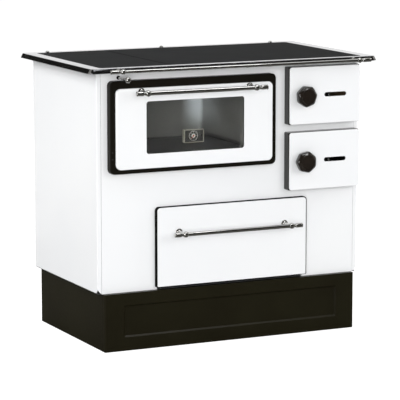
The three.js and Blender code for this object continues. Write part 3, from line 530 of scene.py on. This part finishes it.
# the studio; lengths in metres, powers in watts, angles in degrees from +X
studio = {"floorHalf": 14.0, "ambient": 0.42, "ambientColor": (0.955, 0.978, 1.0), "floorColor": 0.42,
          "floorGlow": 0.83}
flags = {"radius": 6.0, "top": 8.4, "wallSteps": 24, "floorSteps": 48,
         # start, end, grey, foot height
         "wall": {"wallCorner": (88, 102, 0.6, 0.001), "wallBack": (102, 127, 0.035, 0.001),
                  "wallLeft": (127, 190, 0.6, 0.001), "wallFront": (190, 338, 0.035, 0.001),
                  "wallRight": (338, 410, 0.6, 0.001), "wallHigh": (50, 88, 0.035, 2.8)},
         # start, end, inner radius, grey
         "ground": {"floorNear": (-180, 180, 0.0, 0.1), "floorFront": (-150, 20, 2.6, 0.035),
                    "floorRight": (20, 90, 2.2, 0.035), "floorBack": (99, 118, 2.0, 0.3)}}
lamps = {"key": {"place": (1.9, -4.2, 1.9), "aim": (0.0, -0.2, 0.5), "size": (2.2, 2.2), "power": 42},
         "fill": {"place": (-2.9, -6.1, 1.4), "aim": (0.0, -0.2, 0.5), "size": (2.4, 2.4), "power": 237},
         "side": {"place": (-2.8, 0.1, 2.2), "aim": (-0.45, 0.0, 0.75), "size": (1.8, 1.8), "power": 66},
         "right": {"place": (3.4, -0.3, 1.8), "aim": (0.45, 0.0, 0.5), "size": (2.0, 2.0), "power": 74},
         "back": {"place": (0.5, 4.2, 2.1), "aim": (0.0, 0.25, 0.5), "size": (2.0, 2.0), "power": 90},
         "top": {"place": (0.3, 0.9, 4.2), "aim": (0.0, 0.0, 0.8), "size": (2.6, 2.6), "power": 24},
         "low": {"place": (-2.46, -1.58, 0.85), "aim": (0.23, -0.27, 0.69), "size": (0.4, 1.3), "power": 20,
                 "glint": True},
         "crown": {"place": (0.11, -1.25, 3.53), "aim": (0.23, -0.27, 0.69), "size": (2.9, 0.45), "power": 28,
                   "glint": True},
         "cavity": {"place": (0.03, -0.19, 0.675), "aim": (0.082, 0.183, 0.69), "size": (0.01, 0.13),
                    "power": 0.085, "spread": 17, "color": (0.8, 0.89, 1.0)},
         "gauge": {"place": (-0.28, -1.35, 0.80), "aim": (-0.006, 0.017, 0.594), "size": (0.03, 0.03),
                   "power": 0.045, "spread": 3.5}}


def makeWorld():
    # white for what the camera, metal and glass see; a plain soft level for everything else
    world = bpy.data.worlds.new("studio")
    scene.world = world
    world.use_nodes = True
    tree = world.node_tree
    seen = tree.nodes["Background"]
    seen.inputs["Color"].default_value = (1, 1, 1, 1)
    seen.inputs["Strength"].default_value = 1.0
    ambient = tree.nodes.new("ShaderNodeBackground")
    ambient.inputs["Color"].default_value = (*studio["ambientColor"], 1)
    ambient.inputs["Strength"].default_value = studio["ambient"]
    choose = tree.nodes.new("ShaderNodeMixShader")
    tree.links.new(seenRay(tree), choose.inputs["Fac"])
    tree.links.new(ambient.outputs["Background"], choose.inputs[1])
    tree.links.new(seen.outputs["Background"], choose.inputs[2])
    tree.links.new(choose.outputs["Shader"], tree.nodes["World Output"].inputs["Surface"])


def seenRay(tree):
    # 1 for rays of the camera, of reflections and through glass
    path = tree.nodes.new("ShaderNodeLightPath")
    bent = mathNode(tree, "MAXIMUM", path.outputs["Is Glossy Ray"], path.outputs["Is Transmission Ray"])
    return mathNode(tree, "MAXIMUM", path.outputs["Is Camera Ray"], bent)


def makeFloor():
    # a pale sheet that glows for seen rays only, so that it reads as white and keeps the shadow
    half = studio["floorHalf"]
    points = np.array([(-half, -half, 0), (half, -half, 0), (half, half, 0), (-half, half, 0)]) / mm
    floor = meshObject("floor", points, [[0, 1, 2, 3]])
    material = bpy.data.materials.new("paleFloor")
    material.use_nodes = True
    tree = material.node_tree
    principled = tree.nodes["Principled BSDF"]
    principled.inputs["Base Color"].default_value = (*[studio["floorColor"]] * 3, 1)
    principled.inputs["Roughness"].default_value = 0.9
    principled.inputs["Specular IOR Level"].default_value = 0.1
    principled.inputs["Emission Color"].default_value = (1, 1, 1, 1)
    glow = mathNode(tree, "MULTIPLY", seenRay(tree), studio["floorGlow"])
    tree.links.new(glow, principled.inputs["Emission Strength"])
    floor.data.materials.append(material)


def makeCard(name, points, faces, grey):
    # a plain matt card, a little warm, that only reflections see
    card = meshObject(name, np.asarray(points) / mm, faces)
    material = bpy.data.materials.new(name)
    material.use_nodes = True
    principled = material.node_tree.nodes["Principled BSDF"]
    principled.inputs["Base Color"].default_value = (grey, grey * 0.97, grey * 0.88, 1)
    principled.inputs["Roughness"].default_value = 1.0
    principled.inputs["Specular IOR Level"].default_value = 0.0
    card.data.materials.append(material)
    for ray in ("camera", "diffuse", "transmission", "shadow", "volume_scatter"):
        setattr(card, "visible_" + ray, False)


def makeFlags():
    # dark and pale walls round the object, open to the back right and overhead, and grey sheets on the floor
    count = flags["wallSteps"] + 1
    for name, (start, end, grey, low) in flags["wall"].items():
        t = np.radians(np.linspace(start, end, count))
        foot = np.stack([np.cos(t), np.sin(t), np.zeros_like(t)], -1) * flags["radius"] + (0, 0, low)
        wall = [[i, i + 1, i + 1 + count, i + count] for i in range(count - 1)]
        makeCard(name, np.concatenate([foot, foot + (0, 0, flags["top"] - low)]), wall, grey)
    count = flags["floorSteps"] + 1
    for layer, (name, (start, end, inner, grey)) in enumerate(flags["ground"].items()):
        # a sector of a ring, from the inner radius out to the wall, each a millimetre above the last
        t = np.radians(np.linspace(start, end, count))
        rim = np.stack([np.cos(t), np.sin(t), np.zeros_like(t)], -1)
        sheet = np.concatenate([rim * max(inner, mm), rim * flags["radius"]]) + (0, 0, mm * (1 + layer))
        makeCard(name, sheet, [[i, i + count, i + 1 + count, i + 1] for i in range(count - 1)], grey)


def makeLamp(name, spec):
    # an area lamp that looks from its place to its aim; a glint lamp shows in reflections and lights nothing
    data = bpy.data.lights.new(name, "AREA")
    data.shape = "RECTANGLE"
    data.size, data.size_y = spec["size"]
    data.spread = math.radians(spec.get("spread", 180))
    data.energy = spec["power"]
    data.color = spec.get("color", (1, 1, 1))
    lamp = bpy.data.objects.new(name, data)
    lamp.visible_glossy = "glint" in spec
    lamp.visible_diffuse = "glint" not in spec
    lamp.visible_camera = False
    lamp.location = spec["place"]
    look = np.array(spec["aim"], float) - np.array(spec["place"], float)
    lamp.rotation_euler = (math.radians(90) - math.atan2(-look[2], math.hypot(look[0], look[1])), 0,
                           -math.atan2(look[0], look[1]))
    scene.collection.objects.link(lamp)


makeWorld()
makeFloor()
makeFlags()
for name, spec in lamps.items():
    makeLamp(name, spec)
print("studio ready")


# every solid has the material of its slot, and shows where no skin below stands for it
for node, obj in frame["nodes"].items():
    obj.data.materials.clear()
    obj.data.materials.append(materialOf[slotOf[node]])


# sheet metal and castings with softened edges, widths in millimetres
edgeWidth = {"side_panel_left": 0.5, "side_panel_right": 0.5, "front_panel": 0.4, "back_panel": 0.4,
             "plinth_front": 0.8, "plinth_skirt": 0.5, "cooktop_frame": 0.6, "hotplate_left": 1.5,
             "hotplate_right": 1.5, "firebox_shell": 0.5, "firebrick_left": 1.2, "firebrick_right": 1.2,
             "firebrick_back": 1.2, "fire_grate": 1.2, "grate_frame": 0.8, "ash_pan": 0.4, "drawer_box": 0.35,
             "oven_flange": 0.4, "oven_floor_plate": 0.35,
             "oven_door_casting": 0.8, "oven_door_liner": 0.5, "firebox_door_casting": 0.8,
             "ash_door_casting": 0.8, "firebox_hinge": 0.4, "ash_hinge": 0.4, "oven_hinge_left": 0.4,
             "oven_hinge_right": 0.4, "firebox_air_slide": 0.3, "ash_air_slide": 0.3}
# the air slides take the painted-shade black of the drawer tray
special = {"oven_door_casting": finish["satinCasting"], "oven_floor_plate": finish["ovenBase"],
           "firebox_air_slide": finish["gapShadeBlack"], "ash_air_slide": finish["gapShadeBlack"]}
airPin = {"x": 316, "radius": 2.75, "face": 0.3}


def brightPin(obj):
    # faces within the pin's radius of its axis take a second, plated material; the pin's end is foremost
    mesh = obj.data
    mesh.materials.append(finish["chromePlate"])
    points = np.zeros(len(mesh.vertices) * 3)
    mesh.vertices.foreach_get("co", points)
    centres = np.zeros(len(mesh.polygons) * 3)
    mesh.polygons.foreach_get("center", centres)
    points, centres = points.reshape(-1, 3) / mm, centres.reshape(-1, 3) / mm
    front = points[:, 1] < points[:, 1].min() + airPin["face"]
    middle = points[front, 2].mean()
    apart = np.hypot(centres[:, 0] - airPin["x"], centres[:, 2] - middle)
    mesh.polygons.foreach_set("material_index", (apart < airPin["radius"]).astype(int))


for node, width in edgeWidth.items():
    skin = dress(softened(node, width), node, special.get(node))
    if node.endswith("air_slide"):
        brightPin(skin)
print("softened solids")


# pressed covers; from here on places are in millimetres, with y from the outer face of the front sheet
drawerTray = {"left": -251, "right": 256.5, "low": 182.5, "high": 425, "radius": (3, 12, 12, 3)}
drawerCover = {"left": -247.0, "right": 252.6, "low": 184.0, "high": 422.6, "radius": (3, 10, 10, 3)}
ovenCover = {"left": -387.5, "right": 125.5, "low": 547.3, "high": 786.8, "radius": 15}
ovenWindow = {"left": -291.5, "right": 29.5, "low": 590.6, "high": 746.5, "radius": 8}
sideCovers = {"firebox": {"left": 185.2, "right": 426.3, "low": 650.0, "high": 824.6, "radius": 8},
              "ash": {"left": 185.2, "right": 426.3, "low": 449.3, "high": 625.1, "radius": 8}}
airSlot = {"left": 304, "right": 380, "half": 6.5}
knobX = 230


def doorMiddle(area):
    # height of the knob and the slot: a quarter millimetre above the middle of the cover
    return round((area["low"] + area["high"]) / 2 + 0.25, 2)


def makeDrawerFront():
    # the dark tray's front and the cover on it, each a rounded rectangle with rolled edges
    tray = edgeRoll(-11, 1.0) + [(-0.5, 0), (-0.5, 2), (-9, 2)]
    # the tray takes the painted-shade black, so that its edge reads as the shadow gap round the cover
    dress(ringSurface("drawer_tray_skin", standing(drawerTray, tray)), "drawer_tray", finish["gapShadeBlack"])
    cover = edgeRoll(-14, 1.4) + [(-11.3, 0)]
    dress(ringSurface("drawer_cover_skin", standing(drawerCover, cover)), "drawer_cover")


def makeOvenCover():
    # out over the rolled edge, in over the rim of the window, and back behind the 2 mm sheet
    outer = standing(ovenCover, [(-25.3, 0)] + edgeRoll(-35, 3.0)[::-1])
    window = standing(ovenWindow, edgeRoll(-35, 1.2, 5, -1) + [(-33, 0), (-33, -0.5)])
    behind = standing(ovenCover, [(-33, 4), (-32, 2.6), (-30.5, 2), (-25.3, 2)])
    dress(ringSurface("oven_door_cover_skin", outer + window + behind, closed=True), "oven_door_cover")


def makeSideCover(name, area):
    # a pressed plate with a slot for the air slide's pin and a bore for the knob's spindle
    middle = doorMiddle(area)
    plate = ringSurface(name + "_cover_skin", standing(area, edgeRoll(-32, 1.6) + [(-28.3, 0)]))
    slot = {"left": airSlot["left"], "right": airSlot["right"], "low": middle - airSlot["half"],
            "high": middle + airSlot["half"], "radius": airSlot["half"] - 0.01}
    slotCutter = ringSurface("slotCutter", standing(slot, [(-33, -1.2), (-31.6, -0.6), (-31.2, 0), (-26, 0)]))
    boreCutter = lathe("boreCutter", [(7.6, 0), (7.6, 12)], (knobX, -34, middle), (0, 1, 0))
    dress(carved(plate, [slotCutter, boreCutter]), name + "_door_cover")


makeDrawerFront()
makeOvenCover()
for name, area in sideCovers.items():
    makeSideCover(name, area)
print("covers made")


# the oven: a pressed box with round back corners
ovenCell = {"left": -362, "right": 100, "low": 2.3, "high": 405, "radius": (0.3, 12, 12, 0.3)}
ovenInside = {"left": -360.5, "right": 98.5, "low": -20, "high": 403.5, "radius": (0.3, 10.5, 10.5, 0.3)}
ovenHeights = {"under": 572, "floor": 573.5, "ceiling": 778.5, "over": 780, "fold": 5, "edge": 0.4}


def makeOvenBox():
    # the inside is drawn in at its floor and ceiling along a quarter circle, as an enamelled pressing is
    under, over, fold, edge = (ovenHeights[word] for word in ("under", "over", "fold", "edge"))
    t = np.linspace(0, math.pi / 2, 6)
    roll = [(fold * (1 - math.sin(a)), fold * (1 - math.cos(a))) for a in t]
    low = [(ovenHeights["floor"] + z, inset) for z, inset in roll][::-1]
    high = [(ovenHeights["ceiling"] - z, inset) for z, inset in roll]
    outside = [(under, edge), (under + edge, 0), (over - edge, 0), (over, edge)]
    shell = ringSurface("oven_box_skin", lying(ovenCell, outside))
    hollow = ringSurface("hollow", lying(ovenInside, low + high))
    dress(carved(shell, [hollow]), "oven_box")


# the thermometer: a case with a sloped recess, a dark dial that lines it, and pale marks on the dial
gauge = {"left": -42, "right": 26, "low": 575.3, "high": 617.3, "radius": 4.5, "front": 237, "floor": 243,
         "depth": 16, "boss": 3.1, "bore": 3.4}
marks = {"count": 19, "everyLong": 3, "sweep": 135, "reach": 14.2, "long": 3.6, "longHalf": 0.45,
         "short": 2.0, "shortHalf": 0.28, "thick": 0.26, "lift": 0.62}
gaugeX, gaugeZ = (gauge["left"] + gauge["right"]) / 2, (gauge["low"] + gauge["high"]) / 2


def makeGaugeCase():
    # back, sides, rolled rim and the sloped walls of the recess, with a boss for the needle
    front, floor, back, boss = gauge["front"], gauge["floor"], gauge["front"] + gauge["depth"], gauge["boss"]
    stations = [(back, 0.4), (back - 0.4, 0)] + edgeRoll(front, 1.8)[:0:-1] + [
        (front, 2.5), (front + 0.3, 2.9), (floor - 0.4, 4.4), (floor, 4.9)]
    case = ringSurface("case", standing(gauge, stations))
    profile = [(0, 0), (boss - 0.2, 0), (boss, 0.2), (boss, 1.05), (0, 1.05)]
    pin = lathe("boss", profile, (gaugeX, floor - 1.1, gaugeZ), (0, 1, 0), 32)
    dress(merged("thermometer_case_skin", [case, pin]), "thermometer_case", finish["gaugeNickel"])


def makeDial():
    # a thin cup: over the floor of the recess, up its walls and back inside them, bored for the boss
    front, floor = gauge["front"], gauge["floor"]
    stations = [(floor - 0.05, 5.3), (floor - 0.2, 4.8), (front + 1.2, 3.3), (front + 1.2, 3.5),
                (floor - 0.42, 4.95), (floor - 0.4, 5.4)]
    dial = ringSurface("dial", standing({**gauge, "radius": 2.5}, stations))
    hole = lathe("hole", [(gauge["bore"], 0), (gauge["bore"], 6)], (gaugeX, floor - 3, gaugeZ), (0, 1, 0), 32)
    addTrim(carved(dial, [hole]), finish["dialBlack"], "stove_body")


def makeDialMarks():
    # bars along rays from the dial's middle, every third one longer, a band round them and a disc inside
    reach, bore = marks["reach"], gauge["bore"] + 0.1
    base = np.array((gaugeX, gauge["floor"] - marks["lift"], gaugeZ))
    pieces = []
    for i, turn in enumerate(np.radians(np.linspace(-marks["sweep"], marks["sweep"], marks["count"]))):
        across = np.array((math.cos(turn), 0, -math.sin(turn)))
        ray = np.array((math.sin(turn), 0, math.cos(turn)))
        size = "short" if i % marks["everyLong"] else "long"
        start, side = ray * (reach - marks[size]), across * marks[size + "Half"]
        corners = base + [start - side, start + side, ray * reach + side, ray * reach - side]
        pieces.append(ringSurface("bar", [corners, corners + (0, marks["thick"], 0)], sharpAngle=30))
    band = [(reach + 0.5, 0), (reach + 1.0, 0), (reach + 1.0, 0.24), (reach + 0.5, 0.24)]
    pieces.append(lathe("band", band, base, (0, 1, 0), 72, closed=True))
    disc = [(bore, 0), (6.2, 0), (6.4, 0.1), (6.4, 0.24), (bore, 0.24)]
    pieces.append(lathe("disc", disc, base - (0, 0.02, 0), (0, 1, 0), 48, closed=True))
    addTrim(merged("dial_marks", pieces), finish["dialMarks"], "stove_body")


# two screws in the left stile of the oven door
screws = {"x": -397, "heights": (599.4, 579.5), "head": 2.6, "face": -25, "rise": 1.35, "socket": 1.1,
          "socketFloor": 0.6}


def makeScrews():
    # dark pan heads turned about y: flat under the head, round over the rim, down into a socket
    head, rise, socket, sunk = screws["head"], screws["rise"], screws["socket"], screws["socketFloor"]
    rim = arc((head - 0.8, -0.5), 0.8, 0, -80, 5)
    profile = [(0, 0.2), (head, 0.2), (head, -0.5)] + rim + [
        (socket + 0.05, -rise), (socket, 0.05 - rise), (socket - 0.05, -sunk), (0, -sunk)]
    places = [(screws["x"], screws["face"], z) for z in screws["heights"]]
    heads = [lathe("head", profile, place, (0, 1, 0), 32) for place in places]
    addTrim(merged("stile_screws", heads), finish["castIron"], "oven_door")


makeOvenBox()
makeGaugeCase()
makeDial()
makeDialMarks()
makeScrews()
print("oven made")


# rails, handles and turned pieces
ovenHandle = {"name": "oven_handle", "x": -131, "y": -83, "z": 776, "face": -35, "span": 177.5, "bar": 6.4,
              "ball": 9.6, "finial": 28, "rosette": 11, "stem": 4.4}
drawerHandle = {**ovenHandle, "name": "drawer_handle", "x": 0, "y": -62, "z": 346, "face": -14}
towelRail = {"name": "towel_rail", "x": 0, "y": -92, "z": 843.5, "face": -53.2, "span": 391, "bar": 5,
             "ball": 8, "finial": 32, "rosette": 6.6, "stem": 4.2, "through": 10}


def ballSeat(ball, bar):
    # distance from the ball's middle at which the bar meets it, a little inside the ball
    return math.sqrt(ball ** 2 - bar ** 2) - 0.2


def finialProfile(ball, bar, finial):
    # (radius, distance from the ball's middle): ball, collar bead, neck, barrel and the bead at its end
    seat = ballSeat(ball, bar)
    first = math.degrees(math.asin(-seat / ball))
    tip = ball + finial
    sphere = arc((0, 0), ball, first, 48, 18)
    collar = arc((0.6 * ball, 1.04 * ball), 0.1 * ball, -70, 70, 7)
    barrel = [(0.47 * ball, 1.2 * ball), (0.45 * ball, 1.32 * ball), (0.62 * ball, 1.42 * ball),
              (0.72 * ball, 1.56 * ball), (0.76 * ball, 1.9 * ball), (0.755 * ball, 2.4 * ball),
              (0.72 * ball, tip - 0.62 * ball), (0.66 * ball, tip - 0.5 * ball)]
    bead = arc((0.62 * ball, tip - 0.28 * ball), 0.16 * ball, -60, 70, 8) + [(0.56 * ball, tip - 0.06 * ball)]
    start = [(0, -seat), (math.sqrt(ball ** 2 - seat ** 2) * 0.99, -seat)]
    return start + sphere + collar + barrel + bead + [(0, tip)]


def makeHandle(spec):
    # a bar between two balls, each on a stem that flares to a rosette on the face behind it
    name, ball, bar, stem, rosette = (spec[word] for word in ("name", "ball", "bar", "stem", "rosette"))
    half = spec["span"] - ballSeat(ball, bar) - 0.3
    rod = [(0, -half), (bar - 0.3, -half), (bar, 0.3 - half), (bar, half - 0.3), (bar - 0.3, half), (0, half)]
    dress(lathe(name + "_bar_skin", rod, (spec["x"], spec["y"], spec["z"]), (1, 0, 0)), name + "_bar")
    reach = spec["face"] - spec["y"] - ball * 0.5
    foot = [(0, 0.3), (rosette - 0.4, 0.3), (rosette, 0.7)] + arc((rosette - 1.1, 1.5), 1.1, 0, 80, 5) + [
        (rosette * 0.72, 3.2), (stem * 1.3, 5), (stem * 1.08, 7), (stem, 9), (stem, reach), (0, reach)]
    if "through" in spec:
        # the stem goes on through the sheet
        end = 0.1 - spec["through"]
        foot = [(0, end), (stem - 0.4, end), (stem - 0.4, 0.3)] + foot[1:]
    for side, word in ((-1, "left"), (1, "right")):
        x = spec["x"] + side * spec["span"]
        turned = finialProfile(ball, bar, spec["finial"])
        head = lathe("head", turned, (x, spec["y"], spec["z"]), (side, 0, 0))
        post = lathe("post", foot, (x, spec["face"], spec["z"]), (0, -1, 0), 40)
        dress(merged(f"{name}_post_{word}_skin", [head, post]), f"{name}_post_{word}")


capNut = {"places": {"left": -389.5, "centre": 0, "right": 389.5}, "y": 497, "z": 850, "washer": 7.5,
          "dome": 4.8, "collar": 1.8, "top": 4.2}


def makeCapNut(word, x):
    # a washer under a domed nut: a straight collar and a flattened quarter circle
    washer, radius, collar, top = (capNut[part] for part in ("washer", "dome", "collar", "top"))
    t = np.radians(np.linspace(0, 84, 9))
    dome = list(zip(radius * np.cos(t), collar + (top - collar) * np.sin(t)))
    foot = [(0, 0.3), (washer - 0.3, 0.3), (washer, 0.5), (washer, 0.8), (washer - 0.4, 1.0),
            (radius + 0.1, 1.1), (radius, 1.3)]
    profile = foot + dome + [(0, top)]
    nut = lathe(f"cap_nut_{word}_skin", profile, (x, capNut["y"], capNut["z"]), (0, 0, 1), 36)
    dress(nut, f"cap_nut_{word}")


flue = {"place": (-200, 500, 690), "bore": 58, "pipe": 60, "flange": 76, "thick": 3.3, "fillet": 3.4,
        "length": 40}


def makeFlueCollar():
    # a flanged pipe stub: out along the flange, up the fillet, along the pipe and back down its bore
    bore, pipe, flange, thick, fillet, length = (flue[word] for word in (
        "bore", "pipe", "flange", "thick", "fillet", "length"))
    curve = [(pipe + fillet * (1 - math.sin(a)), thick + fillet * (1 - math.cos(a)))
             for a in np.linspace(0.25, math.pi / 2, 5)]
    foot = [(bore, 0.3), (flange - 0.4, 0.3), (flange, 0.7), (flange, thick - 0.4), (flange - 0.4, thick),
            (pipe + 4, thick)]
    lip = [(pipe, length - 1.1), (pipe - 0.4, length - 0.2), (pipe - 1, length), (bore + 0.4, length - 0.2),
           (bore, length - 0.8)]
    collar = lathe("flue_collar_skin", foot + curve + lip, flue["place"], (0, 1, 0), 72, closed=True)
    dress(collar, "flue_collar")


damper = {"x": -366.7, "z": 817, "tip": -80.5, "ball": 9, "rod": 3, "length": 160,
          "flap": {"left": -400.7, "right": -332.7, "low": 786, "high": 825, "radius": 4},
          "flapFront": 79, "flapBack": 82}


def makeDamper():
    # ball and rod turned as one, a flap plate at the inner end, and a dished rosette on the front sheet
    ball, rod, length = damper["ball"], damper["rod"], damper["length"]
    profile = [(0, 0)] + arc((0, ball), ball, -88, 68, 18) + [(rod, 17.7), (rod, length), (0, length)]
    grip = lathe("grip", profile, (damper["x"], damper["tip"], damper["z"]), (0, 1, 0), 40)
    front, back = damper["flapFront"], damper["flapBack"]
    flap = ringSurface("flap", standing(damper["flap"], [
        (front, 0.3), (front + 0.3, 0), (back - 0.3, 0), (back, 0.3)], 5))
    dress(merged("damper_rod_skin", [grip, flap]), "damper_rod")
    profile = [(3.4, 0.3), (5.8, 0.3), (6, 0.5), (6, 1.5), (5.7, 2.1), (4.9, 2.7), (4.3, 3.3), (3.6, 3.3),
               (3.4, 3.1)]
    place = (damper["x"], 0, damper["z"])
    rosette = lathe("damper_rosette_skin", profile, place, (0, -1, 0), 40, closed=True)
    dress(rosette, "damper_rosette", finish["blackCasting"])


for spec in (ovenHandle, drawerHandle, towelRail):
    makeHandle(spec)
for word, x in capNut["places"].items():
    makeCapNut(word, x)
makeFlueCollar()
makeDamper()
print("turned pieces made")


# knobs
knob = {"rear": -35, "front": -70, "across": 34, "neck": 17, "face": 25, "sides": 7, "corner": 0.965,
        "soften": 60, "bore": 6.2, "turns": {"firebox": 0.1, "ash": 0.45}}


def knobRing(middle, turn, y, corner, roundness, perSide=14):
    # radius between that of a polygon with softened corners and that of its inner circle, by the roundness
    sides, power = knob["sides"], knob["soften"]
    inner = corner * math.cos(math.pi / sides)
    t = np.linspace(0, 2 * math.pi, sides * perSide, endpoint=False)
    flat = inner / np.cos(t % (2 * math.pi / sides) - math.pi / sides)
    soft = (flat ** -power + (corner * knob["corner"]) ** -power) ** (-1 / power)
    radius = soft * (1 - roundness) + inner * roundness
    x, z = knobX + radius * np.cos(t + turn), middle + radius * np.sin(t + turn)
    return np.stack([x, np.full_like(t, y), z], -1)


def makeKnob(name, middle, turn):
    # stations of (y, corner radius, roundness) from the neck over the faceted grip to the dished round face
    rear, front, across, neck, face = (knob[word] for word in ("rear", "front", "across", "neck", "face"))
    base = [(rear, neck - 0.6, 1), (rear - 0.4, neck, 1), (rear - 4, neck, 1), (rear - 5, neck + 1.5, 1),
            (rear - 6.4, across - 7, 0.45), (rear - 7.6, across - 4.4, 0.2), (rear - 9.5, across - 2.2, 0.05),
            (rear - 12.5, across - 0.7, 0), (rear - 15, across, 0), (rear - 21, across, 0)]
    crown = [(front + 9.6, across, 0), (front + 7.6, across - 0.5, 0.08), (front + 5.4, across - 1.9, 0.28),
             (front + 3.6, across - 3.6, 0.55), (front + 2.3, face + 3.7, 0.92), (front + 2.1, face + 3.4, 1),
             (front + 0.2, face + 1.5, 1), (front, face + 1.2, 1), (front, face + 0.7, 1)]
    dish = [(front + 0.15, face + 0.4, 1), (front + 0.9, face - 0.6, 1), (front + 1, face - 1.2, 1),
            (front + 1, face - 4, 1)]
    rings = [knobRing(middle, turn, *station) for station in base + crown + dish]
    bore = lathe("bore", [(knob["bore"], 0), (knob["bore"], 14)], (knobX, rear - 12, middle), (0, 1, 0))
    dress(carved(ringSurface(name + "_knob_skin", rings), [bore]), name + "_knob")


for name, turn in knob["turns"].items():
    makeKnob(name, doorMiddle(sideCovers[name]), turn)
print("knobs made")
